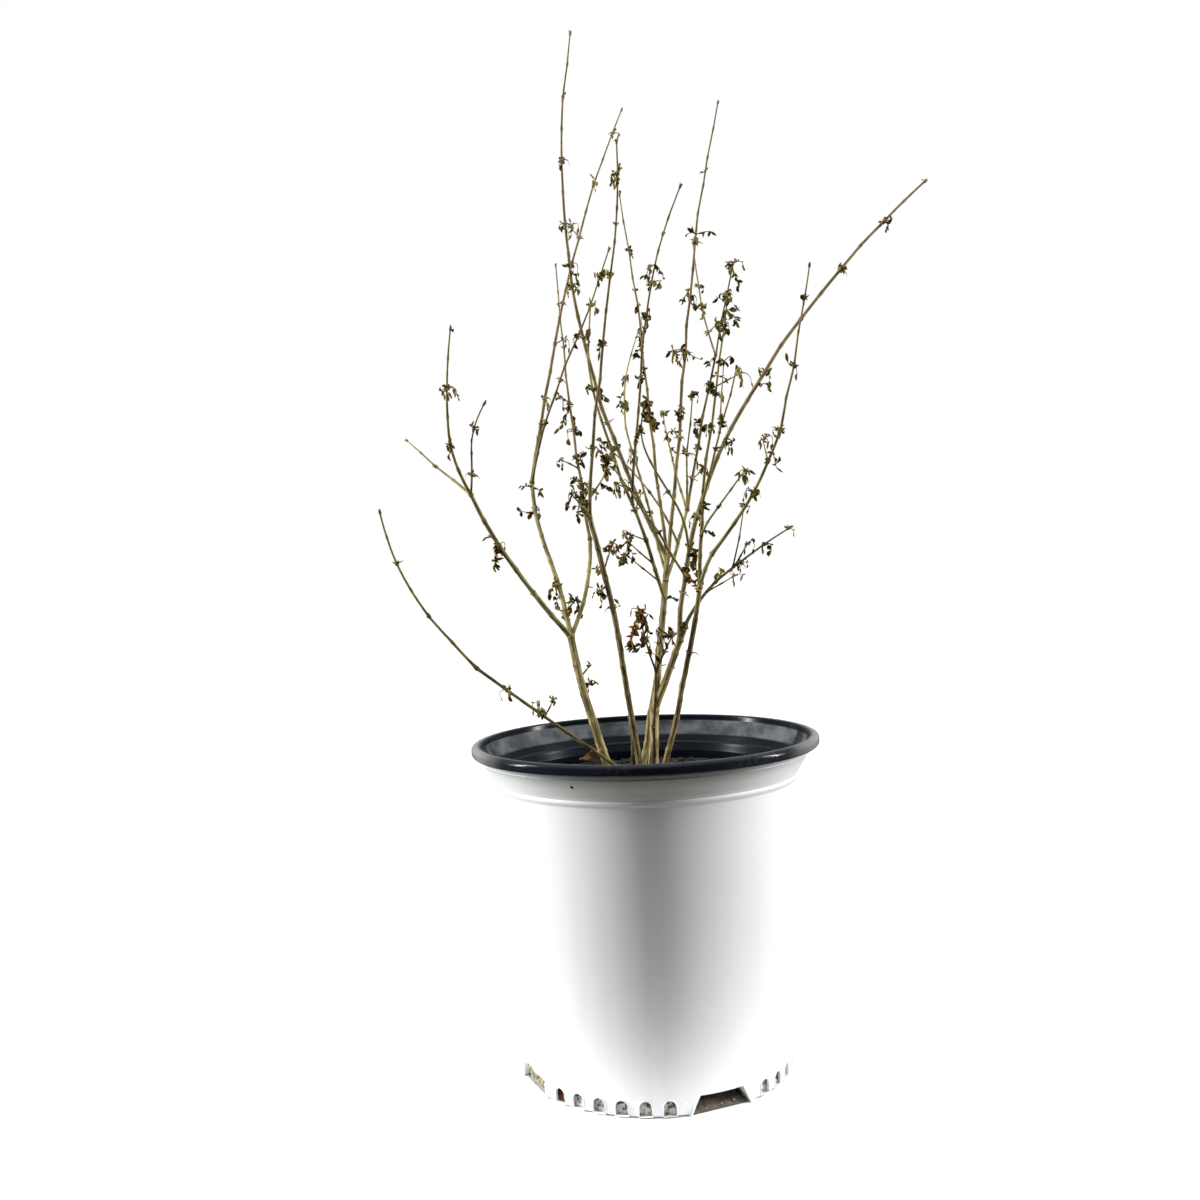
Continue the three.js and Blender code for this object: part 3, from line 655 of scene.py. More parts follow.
wall_top = RIM_FOOT - GAP
pot_wall = Heap().add(turned(rounded([
    (DRAIN_RADIUS, 0.0, 0.4),
    (FOOT_RADIUS - 3.0, 0.0, 1.0),
    (FOOT_RADIUS - 2.0, 0.6, 0.3),
    (FOOT_RADIUS, 1.4, 0.8),
    (wall_radius(SHOULDER), SHOULDER, 2.0),
    (LEDGE_RADIUS + 0.6, LEDGE_HEIGHT - 1.5, 0.5),
    (LEDGE_RADIUS + 0.6, LEDGE_HEIGHT, 0.4),
    (LEDGE_RADIUS + 0.1, LEDGE_HEIGHT + 0.5, 0.4),
    (wall_radius(223.0), 223.0, 0.2),
    (wall_radius(223.0) + 0.7, 223.5, 0.25),
    (wall_radius(224.3) + 0.4, 224.3, 0.25),
    (wall_radius(224.6), 224.6, 0.2),
    (wall_radius(wall_top), wall_top, 0.3),
    (wall_radius(wall_top) - WALL, wall_top, 0.3),
    (wall_radius(LEDGE_HEIGHT) - WALL, LEDGE_HEIGHT, 0.8),
    (wall_radius(SHOULDER) - WALL, SHOULDER, 2.0),
    (FOOT_RADIUS - WALL, FLOOR, 0.6),
    (DRAIN_RADIUS, FLOOR, 0.4),
]), POT_STEPS)).mesh("pot_wall_white")

cuts = Heap()
for turn in arch_turns:
    cuts.add(block(arch_outline(), ARCH_BACK, turn))
for turn in notch_turns:
    cuts.add(block(notch_outline(), NOTCH_BACK, turn))
    cuts.add(block(lift_outline(), NOTCH_BACK, turn))
cut_by(pot_wall, cuts)
dressed(pot_wall, plastic, "pot_wall", sharp=40)

# %% [markdown]
# Each drain arch has a raised white lip, a thin bead that follows the opening. A short tube bent along
# the outline and laid on the cone of the wall does it. The wide lift arches have a plain edge, with a
# pocket behind each. The pocket could be a Boolean as well, but a tray with its own thickness, bent from
# four flat sides, is simpler. Its plastic is clean at the mouth and dark brown further in: partly soil,
# partly a painted shade for the dark recess of the pocket.

# %% Add lips and pockets
LIP = 0.55
TRAY_FOOT = 0.4
DIRT_SHADE_DEPTH = 9

lips = Heap()
for turn in notch_turns:
    outline = notch_outline(extra=0.25, steps=17)
    across, height = np.array(outline + outline[:1], float).T
    line = turned_to(turn, across, wall_radius(0) + height * WALL_SLOPE - 0.1, height)
    lips.add(*tube(line, np.full(len(line), LIP), 8))
lips.piece("drain_arch_lips", plastic)

soiled_and_shaded = Finish("dirty_shaded_plastic", "pot_white", Specular_IOR_Level=0.4)
place = soiled_and_shaded.place()
inward = distance_of(stretched(place, 1.0, 0.0)) + 0.008 * noise(place, 90)
# Darker brown further into the pocket: partly soil, partly painted shade for the recess.
dirt_and_shade = ramp(inward, FOOT_RADIUS * MM, (FOOT_RADIUS - DIRT_SHADE_DEPTH) * MM)
base = mixed(dirt_and_shade, (0.80, 0.80, 0.79), (0.075, 0.062, 0.050))
soiled_and_shaded.wear(base, 0.45 + 0.4 * dirt_and_shade, noise(place, 500), 0.0001)


def tray(turn):
    """A pocket behind a lift arch: two sides, a roof and a back, with their own thickness."""
    rows = []
    for extra, back in ((WALL, ARCH_BACK - WALL), (0.0, ARCH_BACK)):
        across, height = np.array(arch_outline(extra)[:1:-1], float).T
        height[[0, 3]] = TRAY_FOOT
        for radius in (FOOT_RADIUS - WALL, back):
            rows.append(turned_to(turn, across, radius, height))
    corners = np.concatenate(rows)
    faces = []
    for i in range(3):
        faces.append((i, i + 1, i + 5, i + 4))
        faces.append((i + 8, i + 12, i + 13, i + 9))
        faces.append((i, i + 8, i + 9, i + 1))
    faces.append((4, 5, 6, 7))
    faces.append((15, 14, 13, 12))
    faces += [(0, 4, 12, 8), (3, 11, 15, 7), (4, 7, 15, 12)]
    return corners, [np.array(faces)]


pockets = Heap()
for turn in arch_turns:
    pockets.add(tray(turn))
dressed(pockets.mesh("lift_arch_pockets"), soiled_and_shaded, sharp=30)

# %% [markdown]
# The rim is a rolled tube of dark plastic with small rubbed scuffs. Its left and right ends are painted
# pale grey, a painted sheen where the side lights fall. It runs down inside as a lining: first a band that
# faces up, painted grey as dust and as a painted reflection of the bright sky, then a small step, then a
# dark wall that goes down into the soil. It is one turned body, and the spans of its finish are in metres
# as well.

# %% Roll the rim
LINING_FOOT = POT_HEIGHT - 44.0
DUST_SHEEN_FOOT = (0.2195, 0.2215)
DUST_SHEEN_TOP = (0.2316, 0.2302)
DUST_SHEEN_EDGE = (0.1178, 0.1172)
DARK_LINING = (0.2195, 0.2185)
ROLL_SPAN = (0.1180, 0.1195)
END_SHEEN_SPAN = (0.090, 0.118)

dark = Finish("dark_plastic", "pot_dark", Specular_IOR_Level=0.09)
place = dark.place()
height = part_of(place, "Z")
radius = distance_of(stretched(place, 1.0, 0.0))
patchy = noise(place, 55)
# The band that faces up is dust and a painted reflection: a lighter grey for the bright sky it faces.
dust_and_sheen = ramp(height, *DUST_SHEEN_FOOT) * ramp(height, *DUST_SHEEN_TOP) * ramp(radius, *DUST_SHEEN_EDGE)
body = mixed(patchy, (0.002, 0.004, 0.007), (0.004, 0.007, 0.011))
banded = mixed(dust_and_sheen * (0.35 + 0.65 * ramp(patchy, 0.35, 0.6)), body, (0.105, 0.113, 0.118))
rubbed = ramp(noise(place, 420, 4.0), 0.42, 0.68) * ramp(noise(place, 14), 0.4, 0.6)
outside = mixed(rubbed * 0.5, (0.008, 0.009, 0.015), (0.038, 0.041, 0.048))
# Painted sheen: the left and right ends of the roll are painted pale grey, where the side lights fall.
end_sheen = ramp(aside(place) + 0.012 * (patchy - 0.5), *END_SHEEN_SPAN)
outside = mixed(end_sheen, outside, (0.175, 0.18, 0.165))
base = mixed(ramp(radius, *ROLL_SPAN), banded, outside)
dullness = 0.15 + 0.4 * dust_and_sheen + 0.08 * ramp(height, *DARK_LINING) + 0.06 * patchy
dark.wear(base, dullness, noise(place, 1500), 0.00002)


def lining(height):
    return wall_radius(min(height, RIM_FOOT)) - WALL - GAP


rim = turned(rounded([
    (lining(LINING_FOOT) - LINER, LINING_FOOT, 0),
    (lining(LINING_FOOT), LINING_FOOT, 0),
    (lining(SHOULDER), SHOULDER, 0),
    (lining(LEDGE_HEIGHT), LEDGE_HEIGHT, 0),
    (lining(RIM_FOOT), RIM_FOOT, 0),
    (RIM_RADIUS - 0.2, RIM_FOOT, 2.2),
    (RIM_RADIUS, POT_HEIGHT, 3.0),
    (lining(RIM_FOOT) + 0.2, POT_HEIGHT, 1.3),
    (lining(RIM_FOOT) - 0.3, POT_HEIGHT - 4.0, 0.6),
    (lining(RIM_FOOT) - LINER, RIM_FOOT, 0.8),
    (lining(215.5) - LINER, 215.5, 1.0),
    (lining(215.5) - LINER - 1.6, 214.6, 0.3),
    (lining(212.7) - LINER - 0.9, 212.7, 0.3),
    (lining(LEDGE_HEIGHT) - LINER, LEDGE_HEIGHT, 0.8),
    (lining(SHOULDER) - LINER, SHOULDER, 0),
], steps=7), POT_STEPS)
Heap().add(rim).piece("pot_rim_rolled", dark, "pot_rim")

# %% [markdown]
# ## The soil
# Potting mix is shredded bark and peat, nearly black when damp, with a few pale bits. Seen from the
# camera it is a thin dark band, but from above it fills the pot. One turned body carries soft lumps, and
# on it lie some two thousand loose chips in three browns, fibres, and a few white lumps. Each kind of
# chip is one joined mesh with a finish of its own.

# %% Fill the pot
SOIL_HEIGHT = 205.0
SOIL_DIP = 4.0
SOIL_EDGE = 26.0
SOIL_RADIUS = lining(SOIL_HEIGHT) - LINER - GAP
SOIL_STEPS = 240
SOIL_ROWS = 72
SOIL_SINK = 0.4
SOIL_LUMP = 1.1
SOIL_BOTTOM = FLOOR + 14


def soil_top(x, y):
    """The height of the soil's surface: a dip along the lining, and lumps of two sizes."""
    places = np.stack(np.broadcast_arrays(x, y, 0.0), -1)
    radius = np.hypot(x, y)
    dip = SOIL_DIP * np.clip((radius - SOIL_RADIUS + SOIL_EDGE) / SOIL_EDGE, 0, 1) ** 1.5
    bumps = 0.6 * lumps(places, 11.0, 3) + 0.5 * lumps(places, 3.5, 4)
    return SOIL_HEIGHT - SOIL_SINK - dip + SOIL_LUMP * bumps


def earth(name, light, shade):
    finish = Finish(name, "soil", Specular_IOR_Level=0.3)
    place = finish.place()
    grains = noise(place, 260, 5.0)
    crumbs = cells(place, 900)
    finish.wear(mixed(grains, shade, light), 0.8 + 0.15 * grains, grains + 0.5 * crumbs, 0.0006)
    return finish


peat = earth("dark_peat", (0.014, 0.012, 0.011), (0.004, 0.004, 0.004))
top_radii = np.linspace(SOIL_RADIUS, 0.5, SOIL_ROWS)
profile = [(SOIL_RADIUS - 12, SOIL_BOTTOM)] + [(radius, SOIL_HEIGHT) for radius in top_radii]
corners, faces = turned(np.array(profile + [(0.5, SOIL_BOTTOM)]), SOIL_STEPS)
on_top = corners[:, 2] > SOIL_HEIGHT - 1
corners[on_top, 2] = soil_top(corners[on_top, 0], corners[on_top, 1])
Heap().add((corners, faces)).piece("potting_mix", peat, "potting_soil")

# %% [markdown]
# A chip is a brick with its corners pushed about, laid nearly flat and turned by chance. All chips of
# one colour are worked out in one go, as arrays with one row for each chip.

# %% Scatter chips and fibres
FULL_TURN = 6.283
BRICK_SIZES = ((0.3, 1), (0.15, 0.5), (0.08, 0.25))
BRICK_JOG = 0.35
CHIP_LEAN = 0.5
CHIP_LIFT = 0.3
FIBRES = 220
FIBRE_HALF = (2, 6)
BRICK = np.array([(x, y, z) for z in (-1, 1) for x, y in ((-1, -1), (1, -1), (1, 1), (-1, 1))]) / 2
BRICK_FACES = np.array([(0, 3, 2, 1), (4, 5, 6, 7), (0, 1, 5, 4), (1, 2, 6, 5), (2, 3, 7, 6), (3, 0, 4, 7)])


def facing(turn, tilt, roll):
    """Rotation matrices, one for each row of a turn about Z, a tilt about Y and a roll about X."""
    total = np.eye(3)
    for axis, angle in ((2, turn), (1, tilt), (0, roll)):
        first, second = (axis + 1) % 3, (axis + 2) % 3
        single = np.zeros((len(angle), 3, 3))
        single[:, axis, axis] = 1
        single[:, first, first] = np.cos(angle)
        single[:, second, second] = np.cos(angle)
        single[:, second, first] = np.sin(angle)
        single[:, first, second] = -np.sin(angle)
        total = total @ single
    return total


def on_soil(inset, first, second):
    """An even spread over the soil, from two chance numbers for each place."""
    radius = (SOIL_RADIUS - inset) * np.sqrt(first)
    return radius * np.cos(FULL_TURN * second), radius * np.sin(FULL_TURN * second)


def scattered_bricks(count, longest, seed):
    """Many bricks on the soil, with their lengths up to the longest."""
    number = np.arange(count)

    def chance(column):
        return scatter(number + 1, column + 20 * seed)

    size = np.stack([between(*span, chance(1 + k)) for k, span in enumerate(BRICK_SIZES)], -1)
    jog = np.stack([chance(40 + k) for k in range(24)], -1).reshape(count, 8, 3) - 0.5
    shape = (BRICK[None] + BRICK_JOG * jog) * size[:, None] * longest
    turn = facing(FULL_TURN * chance(4), CHIP_LEAN * (chance(5) - 0.5), 2 * CHIP_LEAN * (chance(6) - 0.5))
    x, y = on_soil(3, chance(7), chance(8))
    place = np.stack((x, y, soil_top(x, y) + CHIP_LIFT), -1)
    corners = np.einsum("nij,nkj->nki", turn, shape) + place[:, None]
    faces = BRICK_FACES[None] + 8 * number[:, None, None]
    return corners.reshape(-1, 3), [faces.reshape(-1, 4)]


CHIPS = {
    "dark_chips": (1300, 8.0, (0.013, 0.011, 0.010), (0.004, 0.004, 0.004)),
    "brown_chips": (500, 7.0, (0.032, 0.023, 0.016), (0.011, 0.008, 0.006)),
    "tan_chips": (90, 5.0, (0.090, 0.062, 0.038), (0.035, 0.023, 0.014)),
    "white_lumps": (50, 2.8, (0.50, 0.48, 0.44), (0.30, 0.28, 0.25)),
}

for seed, (name, (count, longest, light, shade)) in enumerate(CHIPS.items()):
    chips = Heap().add(scattered_bricks(count, longest, seed)).mesh(name)
    dressed(chips, earth(name + "_finish", light, shade), sharp=30)

fibres = Heap()
for number in range(FIBRES):
    x, y = on_soil(8, scatter(number, 901), scatter(number, 902))
    turn = FULL_TURN * scatter(number, 903)
    half = drawn(*FIBRE_HALF, number, 904)
    share = np.linspace(-1, 1, 6)
    x = x + half * share * math.cos(turn) + 0.7 * np.sin(3 * share + number)
    y = y + half * share * math.sin(turn)
    line = np.stack((x, y, soil_top(x, y) + 0.5 + 0.8 * share * scatter(number, 905)), -1)
    fibres.add(*tube(line, between(0.25, 0.08, (share + 1) / 2), 4))
fibres.piece("peat_fibres", earth("fibre_brown", (0.14, 0.085, 0.045), (0.05, 0.03, 0.018)))

# %% [markdown]
# Behind each drain arch the mix bulges against the opening: a small uneven patch, paler than the soil on
# top, since the fine white grit settles there. Towards the top of the opening its dark specks thicken, a
# painted shadow under the arch's top. A patch is a grid that leans with the wall, with lumps on its outer
# face and a flat back.

# %% Show the mix behind the drain arches
PATCH_COLUMNS = 15
PATCH_ROWS = 17
PATCH_EDGE = 0.6
PATCH_BACK = 2.4


def patch(turn, seed):
    """A bumpy plate that fills a drain arch from behind."""
    side, up = (part.ravel() for part in sheet_grid(PATCH_ROWS, PATCH_COLUMNS))
    across = side * (NOTCH_WIDTH / 2 + PATCH_EDGE)
    height = between(NOTCH_SILL - PATCH_EDGE, NOTCH_HEIGHT + PATCH_EDGE, up)
    spot = np.stack((across, height, 0 * across), -1)
    bumps = 0.55 * lumps(spot, 1.7, seed) + 0.35 * lumps(spot, 0.8, seed + 1)
    front = wall_radius(0) + height * WALL_SLOPE - WALL - 0.7 - 1.6 * up ** 2 + bumps
    back = np.full(len(front), FOOT_RADIUS - WALL - PATCH_BACK)
    corners = [turned_to(turn, across, radius, height) for radius in (front, back)]
    return np.concatenate(corners), sheet_faces(PATCH_ROWS, PATCH_COLUMNS)


def gritty(name, light, shade):
    finish = Finish(name, "soil", Specular_IOR_Level=0.3)
    place = finish.place()
    height = part_of(place, "Z")
    # The specks thicken towards the top of an opening: a painted shadow under the arch's top.
    specks = ramp(noise(place, 420, 4.0) + 0.22 * ramp(height, 0.007, 0.0105), 0.50, 0.66)
    base = mixed(specks, light, shade)
    finish.wear(base, 0.75 + 0.2 * specks, specks, 0.0003)
    return finish


RED_ARCH = 18

grey_mix = gritty("grit_and_peat", (0.52, 0.51, 0.47), (0.085, 0.065, 0.045))
red_mix = gritty("red_bark", (0.085, 0.022, 0.013), (0.022, 0.008, 0.005))
dried_grit = gritty("dried_grit", (0.24, 0.245, 0.215), (0.045, 0.038, 0.026))
patches = Heap()
red_patch = Heap()
for number, turn in enumerate(notch_turns):
    (red_patch if number == RED_ARCH else patches).add(patch(turn, number + 1))
patches.piece("mix_behind_drain_arches", grey_mix)
red_patch.piece("red_bark_behind_drain_arch", red_mix)

# %% [markdown]
# Some mix has washed out under the pot and lies in each lift arch as a small bank that rises to the back
# of the pocket. It is a bumpy sheet over a flat one. The damp bank is dark brown: partly the mix, partly a
# painted shade that stands for the shadow on the ground deep in the pocket. Pale crumbs lie on it, and
# more of them cling to the edge of the left arch, where the mix has dried grey. A small black pinhole in
# the flare is a mark of its own.

# %% Bank the washed-out mix
BANK_ROWS = 15
BANK_COLUMNS = 41
BANK_HEIGHT = 8.0
BANK_FRONT = 93.0
CRUMBS = 5
CRUMB_SIZE = (0.8, 2.6)
CRUMB_SHARES = np.array((-1.0, -0.7, 0.0, 0.7, 1.0))
CRUMB_RADII = np.array((0.1, 0.75, 1.0, 0.7, 0.1))
PALE_ARCH = 3
EDGE_CRUMBS = 44
EDGE_TURNS = (-72, -52)
EDGE_HEIGHTS = (15.5, 8.5)
PINHOLE_TURN = math.radians(-24.75)
PINHOLE_HEIGHT = 219.5


def bank_height(side, back):
    """The height of a bank at a share from side to side, -1 to 1, and a share to the back, 0 to 1."""
    return 0.3 + BANK_HEIGHT * back ** 0.55 * (1 - abs(side) ** 6)


def bank(turn, seed):
    side, back = (part.ravel() for part in sheet_grid(BANK_ROWS, BANK_COLUMNS))
    across = side * (ARCH_WIDTH / 2 - 0.8)
    radius = between(BANK_FRONT, ARCH_BACK + 0.4, back)
    spot = np.stack((across, radius, 0 * across), -1)
    bumps = 0.5 + 0.5 * lumps(spot, 2.6, seed) + 0.4 * lumps(spot, 1.1, seed + 1)
    height = bank_height(side, back) + np.maximum(bumps, 0) * (1 - abs(side) ** 6)
    corners = [turned_to(turn, across, radius, top) for top in (height, 0 * height + 0.05)]
    return np.concatenate(corners), sheet_faces(BANK_ROWS, BANK_COLUMNS)


def crumb(spot, seed):
    size = between(*CRUMB_SIZE, scatter(seed, 1) ** 2)
    way = heading(FULL_TURN * scatter(seed, 2), scatter(seed, 3) - 0.5)
    return tube(spot + way * size / 2 * CRUMB_SHARES[:, None], size / 2 * CRUMB_RADII, 6)


shaded_banks = Heap()
pale_banks = Heap()
crumbs = Heap()
for number, turn in enumerate(arch_turns):
    (pale_banks if number == PALE_ARCH else shaded_banks).add(bank(turn, number + 5))
    for count in range(CRUMBS):
        seed = 90 * number + count
        side = 1.7 * (scatter(seed, 4) - 0.5)
        back = 0.5 * scatter(seed, 5)
        radius = between(BANK_FRONT, ARCH_BACK, back)
        height = bank_height(side, back) + 0.8
        crumbs.add(*crumb(turned_to(turn, side * (ARCH_WIDTH / 2 - 1.5), radius, height), seed))
for count in range(EDGE_CRUMBS):
    share = scatter(count, 6)
    turn = math.radians(between(*EDGE_TURNS, share))
    height = between(*EDGE_HEIGHTS, share) + 5.0 * (scatter(count, 7) - 0.5)
    crumbs.add(*crumb(turned_to(turn, 0.0, wall_radius(height) + 0.2, height), 500 + count))
pale_banks.piece("dried_mix", dried_grit)
# The dark bank is partly washed-out mix and partly painted shade for the shadowed ground in the pocket.
shaded_banks.piece("washed_out_mix_and_shade", earth("bank_mix_and_shade", (0.170, 0.145, 0.115), (0.060, 0.050, 0.040)))
crumbs.piece("pale_crumbs", earth("crumb_cream", (0.56, 0.50, 0.35), (0.27, 0.21, 0.11)))

depths = wall_radius(PINHOLE_HEIGHT) + np.array((-0.3, 0.0, 0.12))
heights = PINHOLE_HEIGHT - np.array((0.0, 0.15, 0.2))
pinhole = tube(turned_to(PINHOLE_TURN, 0.0, depths, heights), (1.1, 1.1, 0.7), 10)
Heap().add(*pinhole).piece("flare_pinhole", dark)

# %% [markdown]
# ## How a limb runs
# Every cane, bough and shoot is a line from a foot to a tip. A bow pushes its middle aside, a sway pushes
# one half one way and the other half back, and at each joint it takes a small step, because a lilac's
# shoot turns a little wherever a pair of leaves stood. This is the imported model's own rule, repeated here
# to the letter, so that everything that grows here stands on the limbs of the frame.

# %% State the limb rule
KNOT_PITCH = 22
KNOT_SWELL = 0.35
KNOT_LENGTH = 2.6
KINK = 0.8
ROOT_FLARE = 0.32
FLARE_LENGTH = 9
ROOT_DEPTH = 5.0
ROOT_SINK = 0.6
JOINT_INSET = 1.5

limbs = {}


class Limb:
    """A line and its thickness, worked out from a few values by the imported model's rule."""

    def __init__(self, kind, name, parent, foot, tip, widths, look,
                 bow=(0, 0, 0), sway=0, tufts=(), twigs=()):
        """foot is a place on the soil for a cane, and a share of the parent's length for the others."""
        self.kind, self.name, self.parent, self.widths, self.look = kind, name, parent, widths, look
        self.thick = kind in ("cane", "bough")
        self.foot = limbs[parent].point(foot) if parent else np.array((*foot, SOIL_HEIGHT))
        self.tip = np.array(tip, float)
        self.bow = np.array(bow, float)
        self.sway = np.array((sway, 0.0, 0.0))
        self.length = np.linalg.norm(self.tip - self.foot)
        self.knots = max(2, math.floor(self.length / KNOT_PITCH + 0.5))
        self.seed = len(limbs) + 1
        self.kinks = np.zeros((self.knots + 2, 3))
        for knot in range(1, self.knots):
            self.kinks[knot, 0] = 2 * KINK * (scatter(self.seed, 2 * knot) - 0.5)
            self.kinks[knot, 1] = 2 * KINK * (scatter(self.seed, 2 * knot + 1) - 0.5)
        self.tufts = [self.nearest_knot(share) for share in tufts]
        self.twigs = [self.nearest_knot(share) for share in twigs]
        self.twigged = []
        limbs[name] = self

    def nearest_knot(self, share):
        return min(self.knots, max(1, math.floor(share * self.knots + 0.5)))

    def point(self, share):
        """Places at one share of the length or at many."""
        share = np.asarray(share, float)[..., None]
        place = np.clip(share * self.knots, 0, self.knots)
        below = np.floor(place).astype(int)
        kink = self.kinks[below[..., 0]]
        kink = kink + (self.kinks[below[..., 0] + 1] - kink) * (place - below)
        straight = self.foot + (self.tip - self.foot) * share
        return straight + self.bow * 4 * share * (1 - share) + self.sway * np.sin(2 * math.pi * share) + kink

    def radius(self, share):
        """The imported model's radius: a taper, a root flare on a cane and a swelling at each knot."""
        share = np.asarray(share, float)
        place = share * self.knots
        nearest = np.floor(place + 0.5)
        swell = KNOT_SWELL * np.maximum(0, 1 - abs(place - nearest) * self.length / self.knots / KNOT_LENGTH)
        flare = 0
        if self.kind == "cane":
            swell = np.where(nearest > 0, swell, 0)
            flare = ROOT_FLARE * np.exp(-share * self.length / FLARE_LENGTH)
        return between(*self.widths, share) / 2 * (1 + flare) + swell

    def ahead(self, share):
        """The direction along the limb at a share."""
        step = 1.0 / self.length
        return unit(self.point(share + step) - self.point(share - step))

    def joint(self, knot):
        """The share at a knot, or just short of the tip for the last one."""
        return min(knot / self.knots, 1 - JOINT_INSET / self.length)


def cane(name, *values, **more):
    Limb("cane", name, None, *values, **more)


def bough(*values, **more):
    Limb("bough", *values, **more)


def shoot(*values, **more):
    Limb("shoot", *values, **more)


# %% [markdown]
# The plant is a list, read from the foot up. Each line gives where a limb starts, where it ends, how
# thick it is at both ends, its kind of bark, how it bends, and where along it the dried tufts and side
# twigs stand.

# %% List the canes and boughs
cane("arching_cane", (-2, -18), (-113, -38, 292), (2.6, 2.1), "mixed", bow=(3, 0, -4), tufts=(0.6, 0.8),
      twigs=(0.7,))
cane("left_cane", (-24, 4), (-50, 10, 308), (6.4, 5.0), "tan", bow=(-2, 0, 0), twigs=(0.62,))
cane("inner_cane", (-3, -8), (-31, -40, 392), (4.4, 3.4), "mixed", bow=(3, 0, 0), tufts=(0.7,),
      twigs=(0.74,))
cane("back_cane", (-4, 14), (22, 26, 362), (5.0, 4.0), "tan", bow=(3, 0, 0))
cane("front_cane", (5, -6), (8, -6, 255), (6.8, 6.4), "pale")
cane("right_cane", (10, -16), (42, -38, 342), (4.0, 3.2), "mixed", bow=(2, 0, 0))
cane("old_stub", (-11, -4), (-10, -2, 250), (3.2, 2.4), "dark", bow=(2, 0, 0))
cane("thin_dark_cane", (5, -16), (10, -24, 284), (2.2, 1.8), "dark")

bough("left_outer_bough", "left_cane", 1, (-114, -18, 412), (3.8, 2.8), "olive", bow=(-4, 0, -2),
      tufts=(0.7,))
bough("left_middle_bough", "left_cane", 1, (-76, 46, 422), (3.6, 2.8), "olive", bow=(-1, 0, -2), sway=2,
      tufts=(0.14, 0.26, 0.38, 0.79))
bough("left_inner_bough", "left_cane", 1, (-34, 32, 378), (3.2, 2.6), "olive", bow=(4, 0, 0))
bough("front_left_bough", "front_cane", 1, (20, 8, 346), (4.6, 3.8), "tan")
bough("front_right_bough", "front_cane", 1, (32, -8, 314), (5.1, 4.2), "tan", bow=(1, 0, 0), tufts=(0.9,))
bough("right_middle_bough", "front_left_bough", 1, (38, 26, 396), (2.8, 2.2), "olive", bow=(0, 0, -2))
bough("right_spur", "right_cane", 1, (51, -44, 364), (2.8, 2.5), "olive", bow=(-1, 0, 0))
print(len(limbs), "canes and boughs")

# %% [markdown]
# The shoots are last year's and the year before's growth: long, nearly straight, and thin as wire at
# their ends. Each is a mass in the frame, with coarse blades for its tufts.

# %% List the shoots
shoot("arching_shoot", "arching_cane", 1, (-170, -62, 402), (2.1, 1.2), "olive_twig", bow=(-12, 0, 1))
shoot("outer_high_shoot", "left_outer_bough", 1, (-115, -75, 519), (2.3, 1.0), "olive_twig",
      bow=(-10, 0, -2), sway=-1, tufts=(0.33, 0.68))
shoot("outer_low_shoot", "left_outer_bough", 1, (-165, 24, 456), (2.0, 0.9), "olive_twig", bow=(-1, 0, 0))
shoot("outer_inner_shoot", "left_outer_bough", 1, (-96, -66, 470), (1.6, 0.9), "taupe_twig",
      bow=(-5, 0, -2), sway=2, tufts=(0.3, 0.63))
shoot("middle_tall_shoot", "left_middle_bough", 1, (3, 120, 718), (2.7, 1.0), "taupe_twig",
      bow=(-10, 0, 0), sway=1, tufts=(0.2, 0.57, 0.76, 0.9))
shoot("middle_short_shoot", "left_middle_bough", 1, (-10, -34, 574), (2.0, 0.9), "taupe_twig",
      bow=(-2, 0, 4), sway=-2, tufts=(0.2, 0.58, 0.76, 0.84))
shoot("back_left_shoot", "left_inner_bough", 1, (-54, 98, 594), (2.4, 0.9), "taupe_twig", bow=(-2, 0, -4),
      tufts=(0.1, 0.2, 0.3, 0.44, 0.68))
shoot("inner_tall_shoot", "inner_cane", 1, (-2, -105, 624), (2.4, 0.9), "taupe_twig", bow=(2, 0, 6),
      sway=-2, tufts=(0.2, 0.46, 0.6, 0.9))
shoot("inner_front_twigs", "inner_cane", 1, (-42, -66, 408), (1.6, 0.9), "olive_twig", bow=(2, 0, -2),
      tufts=(0.95,))
shoot("inner_side_twigs", "inner_cane", 1, (-18, -24, 427), (1.7, 1.0), "olive_twig", bow=(-3, 0, 1),
      sway=-2, tufts=(0.5, 0.98))
shoot("crossing_shoot", "front_left_bough", 0.86, (-24, -34, 539), (2.8, 1.0), "olive_twig",
      bow=(-12, -24, 1), sway=4, tufts=(0.5, 0.7), twigs=(0.2, 0.28))
shoot("crossing_high_shoot", "crossing_shoot", 0.32, (38, -82, 601), (2.0, 0.9), "taupe_twig",
      bow=(-9, 0, 2), sway=2, tufts=(0.43, 0.58, 0.74))
shoot("tallest_shoot", "back_cane", 1, (-32, 18, 740), (3.4, 1.0), "taupe_twig", bow=(-32, 0, -1),
      tufts=(0.55, 0.67, 0.77))
shoot("back_tall_shoot", "back_cane", 1, (-2, 92, 644), (2.6, 0.9), "taupe_twig", bow=(2, 0, -4), sway=-1,
      tufts=(0.36, 0.65, 0.86))
shoot("back_short_shoot", "back_cane", 0.93, (9, 112, 542), (2.2, 0.9), "olive_twig", bow=(-15, 0, -4),
      sway=5, tufts=(0.45, 0.73))
shoot("straight_tall_shoot", "front_left_bough", 1, (75, 66, 702), (2.9, 1.0), "taupe_twig",
      bow=(-5, 0, -3), sway=2, tufts=(0.34, 0.48, 0.61, 0.72))
shoot("outermost_shoot", "front_right_bough", 0.82, (219, 26, 625), (3.6, 1.6), "red_twig",
      bow=(-36, -20, 15), sway=-4, tufts=(0.16, 0.22, 0.55, 0.78, 0.88))
shoot("leaning_upper_shoot", "outermost_shoot", 0.17, (11, -66, 468), (2.0, 0.9), "olive_twig",
      bow=(-6, 0, 0), sway=6, tufts=(0.84, 0.98))
